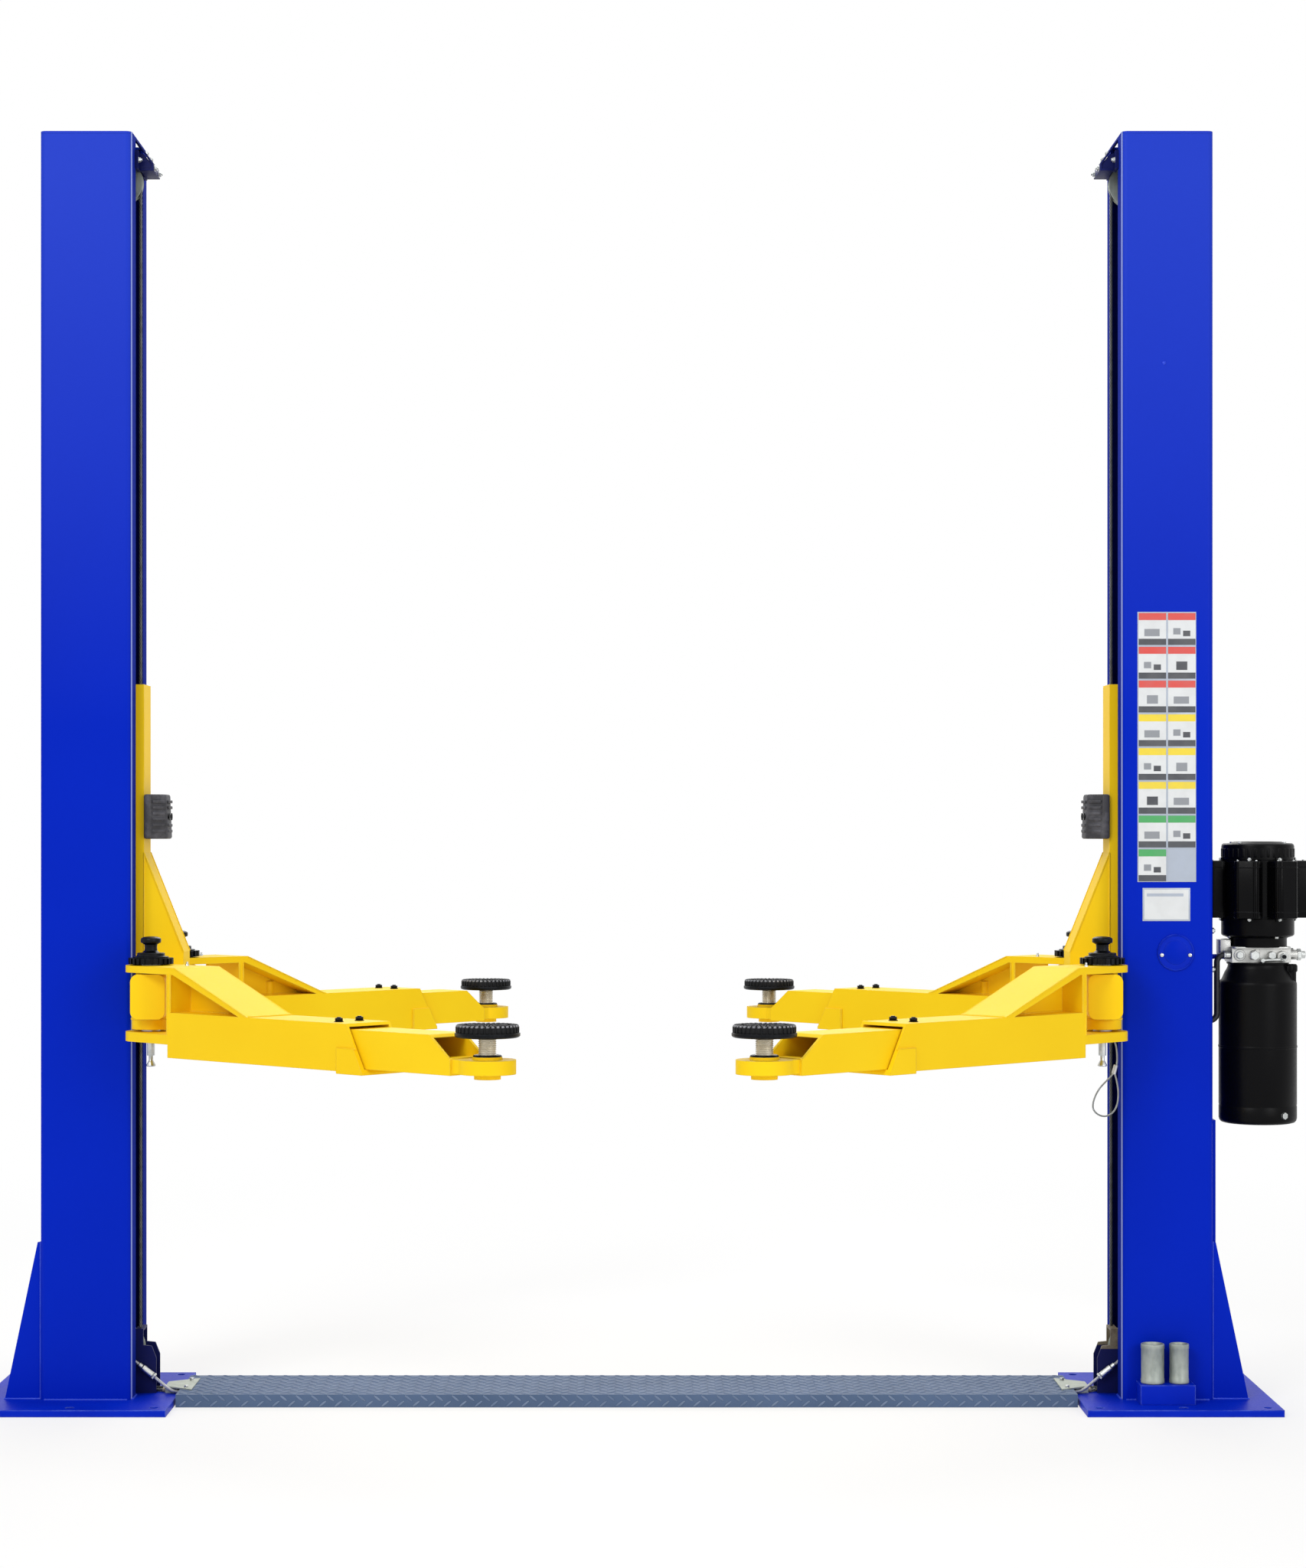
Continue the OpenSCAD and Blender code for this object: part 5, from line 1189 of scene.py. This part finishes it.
# Soft studio light, plain floor and pale surroundings
stageSettings = {"ambient": 0.55, "floor": "#f4f4f3", "floorSize": 60, "near": 2.3, "far": 5.5,
                 "lamps": [{"place": (-3.6, -6.4, 5.6), "aim": (0, 0, 1.4), "size": 3.0, "power": 240},
                           {"place": (4.4, -5.6, 2.8), "aim": (0.3, 0, 1.2), "size": 2.5, "power": 95},
                           {"place": (0.0, 0.4, 6.4), "aim": (0, 0, 0), "size": 4.0, "power": 120},
                           {"place": (0.0, 6.2, 5.2), "aim": (0, 0, 1.0), "size": 4.0, "power": 150}]}


def makeStage():
    scene = bpy.context.scene
    scene.view_settings.view_transform = "Standard"
    world = bpy.data.worlds.new("studio")
    scene.world = world
    world.use_nodes = True
    tree = world.node_tree
    tree.nodes.clear()
    rays = addNode(tree, "ShaderNodeLightPath")
    seen = addNode(tree, "ShaderNodeMath", {"operation": "MAXIMUM"}, {0: rays.outputs["Is Camera Ray"], 1: rays.outputs["Is Glossy Ray"]})
    seen = addNode(tree, "ShaderNodeMath", {"operation": "MAXIMUM"}, {0: seen.outputs[0], 1: rays.outputs["Is Transmission Ray"]})
    dim = addNode(tree, "ShaderNodeBackground", {"Color": (1, 1, 1, 1), "Strength": stageSettings["ambient"]})
    white = addNode(tree, "ShaderNodeBackground", {"Color": (1, 1, 1, 1), "Strength": 1.0})
    both = addNode(tree, "ShaderNodeMixShader", links={0: seen.outputs[0], 1: dim.outputs[0], 2: white.outputs[0]})
    addNode(tree, "ShaderNodeOutputWorld", links={0: both.outputs[0]})

    # Studio floor: matt painted boards near the lift, fading into the white surroundings
    material, tree, shader, place = startMaterial("paleFloor")
    shader.inputs["Roughness"].default_value = 0.9
    shader.inputs["Specular IOR Level"].default_value = 0.1
    shader.inputs["Base Color"].default_value = linearColour(stageSettings["floor"])
    away = addNode(tree, "ShaderNodeVectorMath", {"operation": "LENGTH"}, {0: place}).outputs["Value"]
    fade = addNode(tree, "ShaderNodeMapRange", {"interpolation_type": "SMOOTHSTEP", "From Min": stageSettings["near"],
                                                "From Max": stageSettings["far"], "To Min": 0.62, "To Max": 1.0}, {"Value": away})
    rays = addNode(tree, "ShaderNodeLightPath")
    seen = addNode(tree, "ShaderNodeMath", {"operation": "MAXIMUM"}, {0: rays.outputs["Is Camera Ray"], 1: rays.outputs["Is Glossy Ray"]})
    seen = addNode(tree, "ShaderNodeMath", {"operation": "MAXIMUM"}, {0: seen.outputs[0], 1: rays.outputs["Is Transmission Ray"]})
    share = addNode(tree, "ShaderNodeMath", {"operation": "MULTIPLY"}, {0: fade.outputs[0], 1: seen.outputs[0]})
    glow = addNode(tree, "ShaderNodeEmission", {"Color": (1, 1, 1, 1), "Strength": 1.0})
    mixed = addNode(tree, "ShaderNodeMixShader", links={0: share.outputs[0], 1: shader.outputs[0], 2: glow.outputs[0]})
    output = next(n for n in tree.nodes if n.type == "OUTPUT_MATERIAL")
    tree.links.new(mixed.outputs[0], output.inputs[0])
    bm = bmesh.new()
    bmesh.ops.create_grid(bm, x_segments=1, y_segments=1, size=stageSettings["floorSize"] / 2,
                          matrix=Matrix.Translation((0, 0, -0.0005)))
    mesh = bpy.data.meshes.new("studioFloor")
    bm.to_mesh(mesh)
    bm.free()
    mesh.materials.append(material)
    floor = bpy.data.objects.new("studioFloor", mesh)
    scene.collection.objects.link(floor)
    for i, lamp in enumerate(stageSettings["lamps"]):
        data = bpy.data.lights.new(f"softbox{i}", "AREA")
        data.shape = "SQUARE"
        data.size = lamp["size"]
        data.energy = lamp["power"]
        light = bpy.data.objects.new(f"softbox{i}", data)
        light.location = lamp["place"]
        light.rotation_euler = (Vector(lamp["aim"]) - Vector(lamp["place"])).to_track_quat("-Z", "Y").to_euler()
        scene.collection.objects.link(light)


makeStage()
print("stage made")
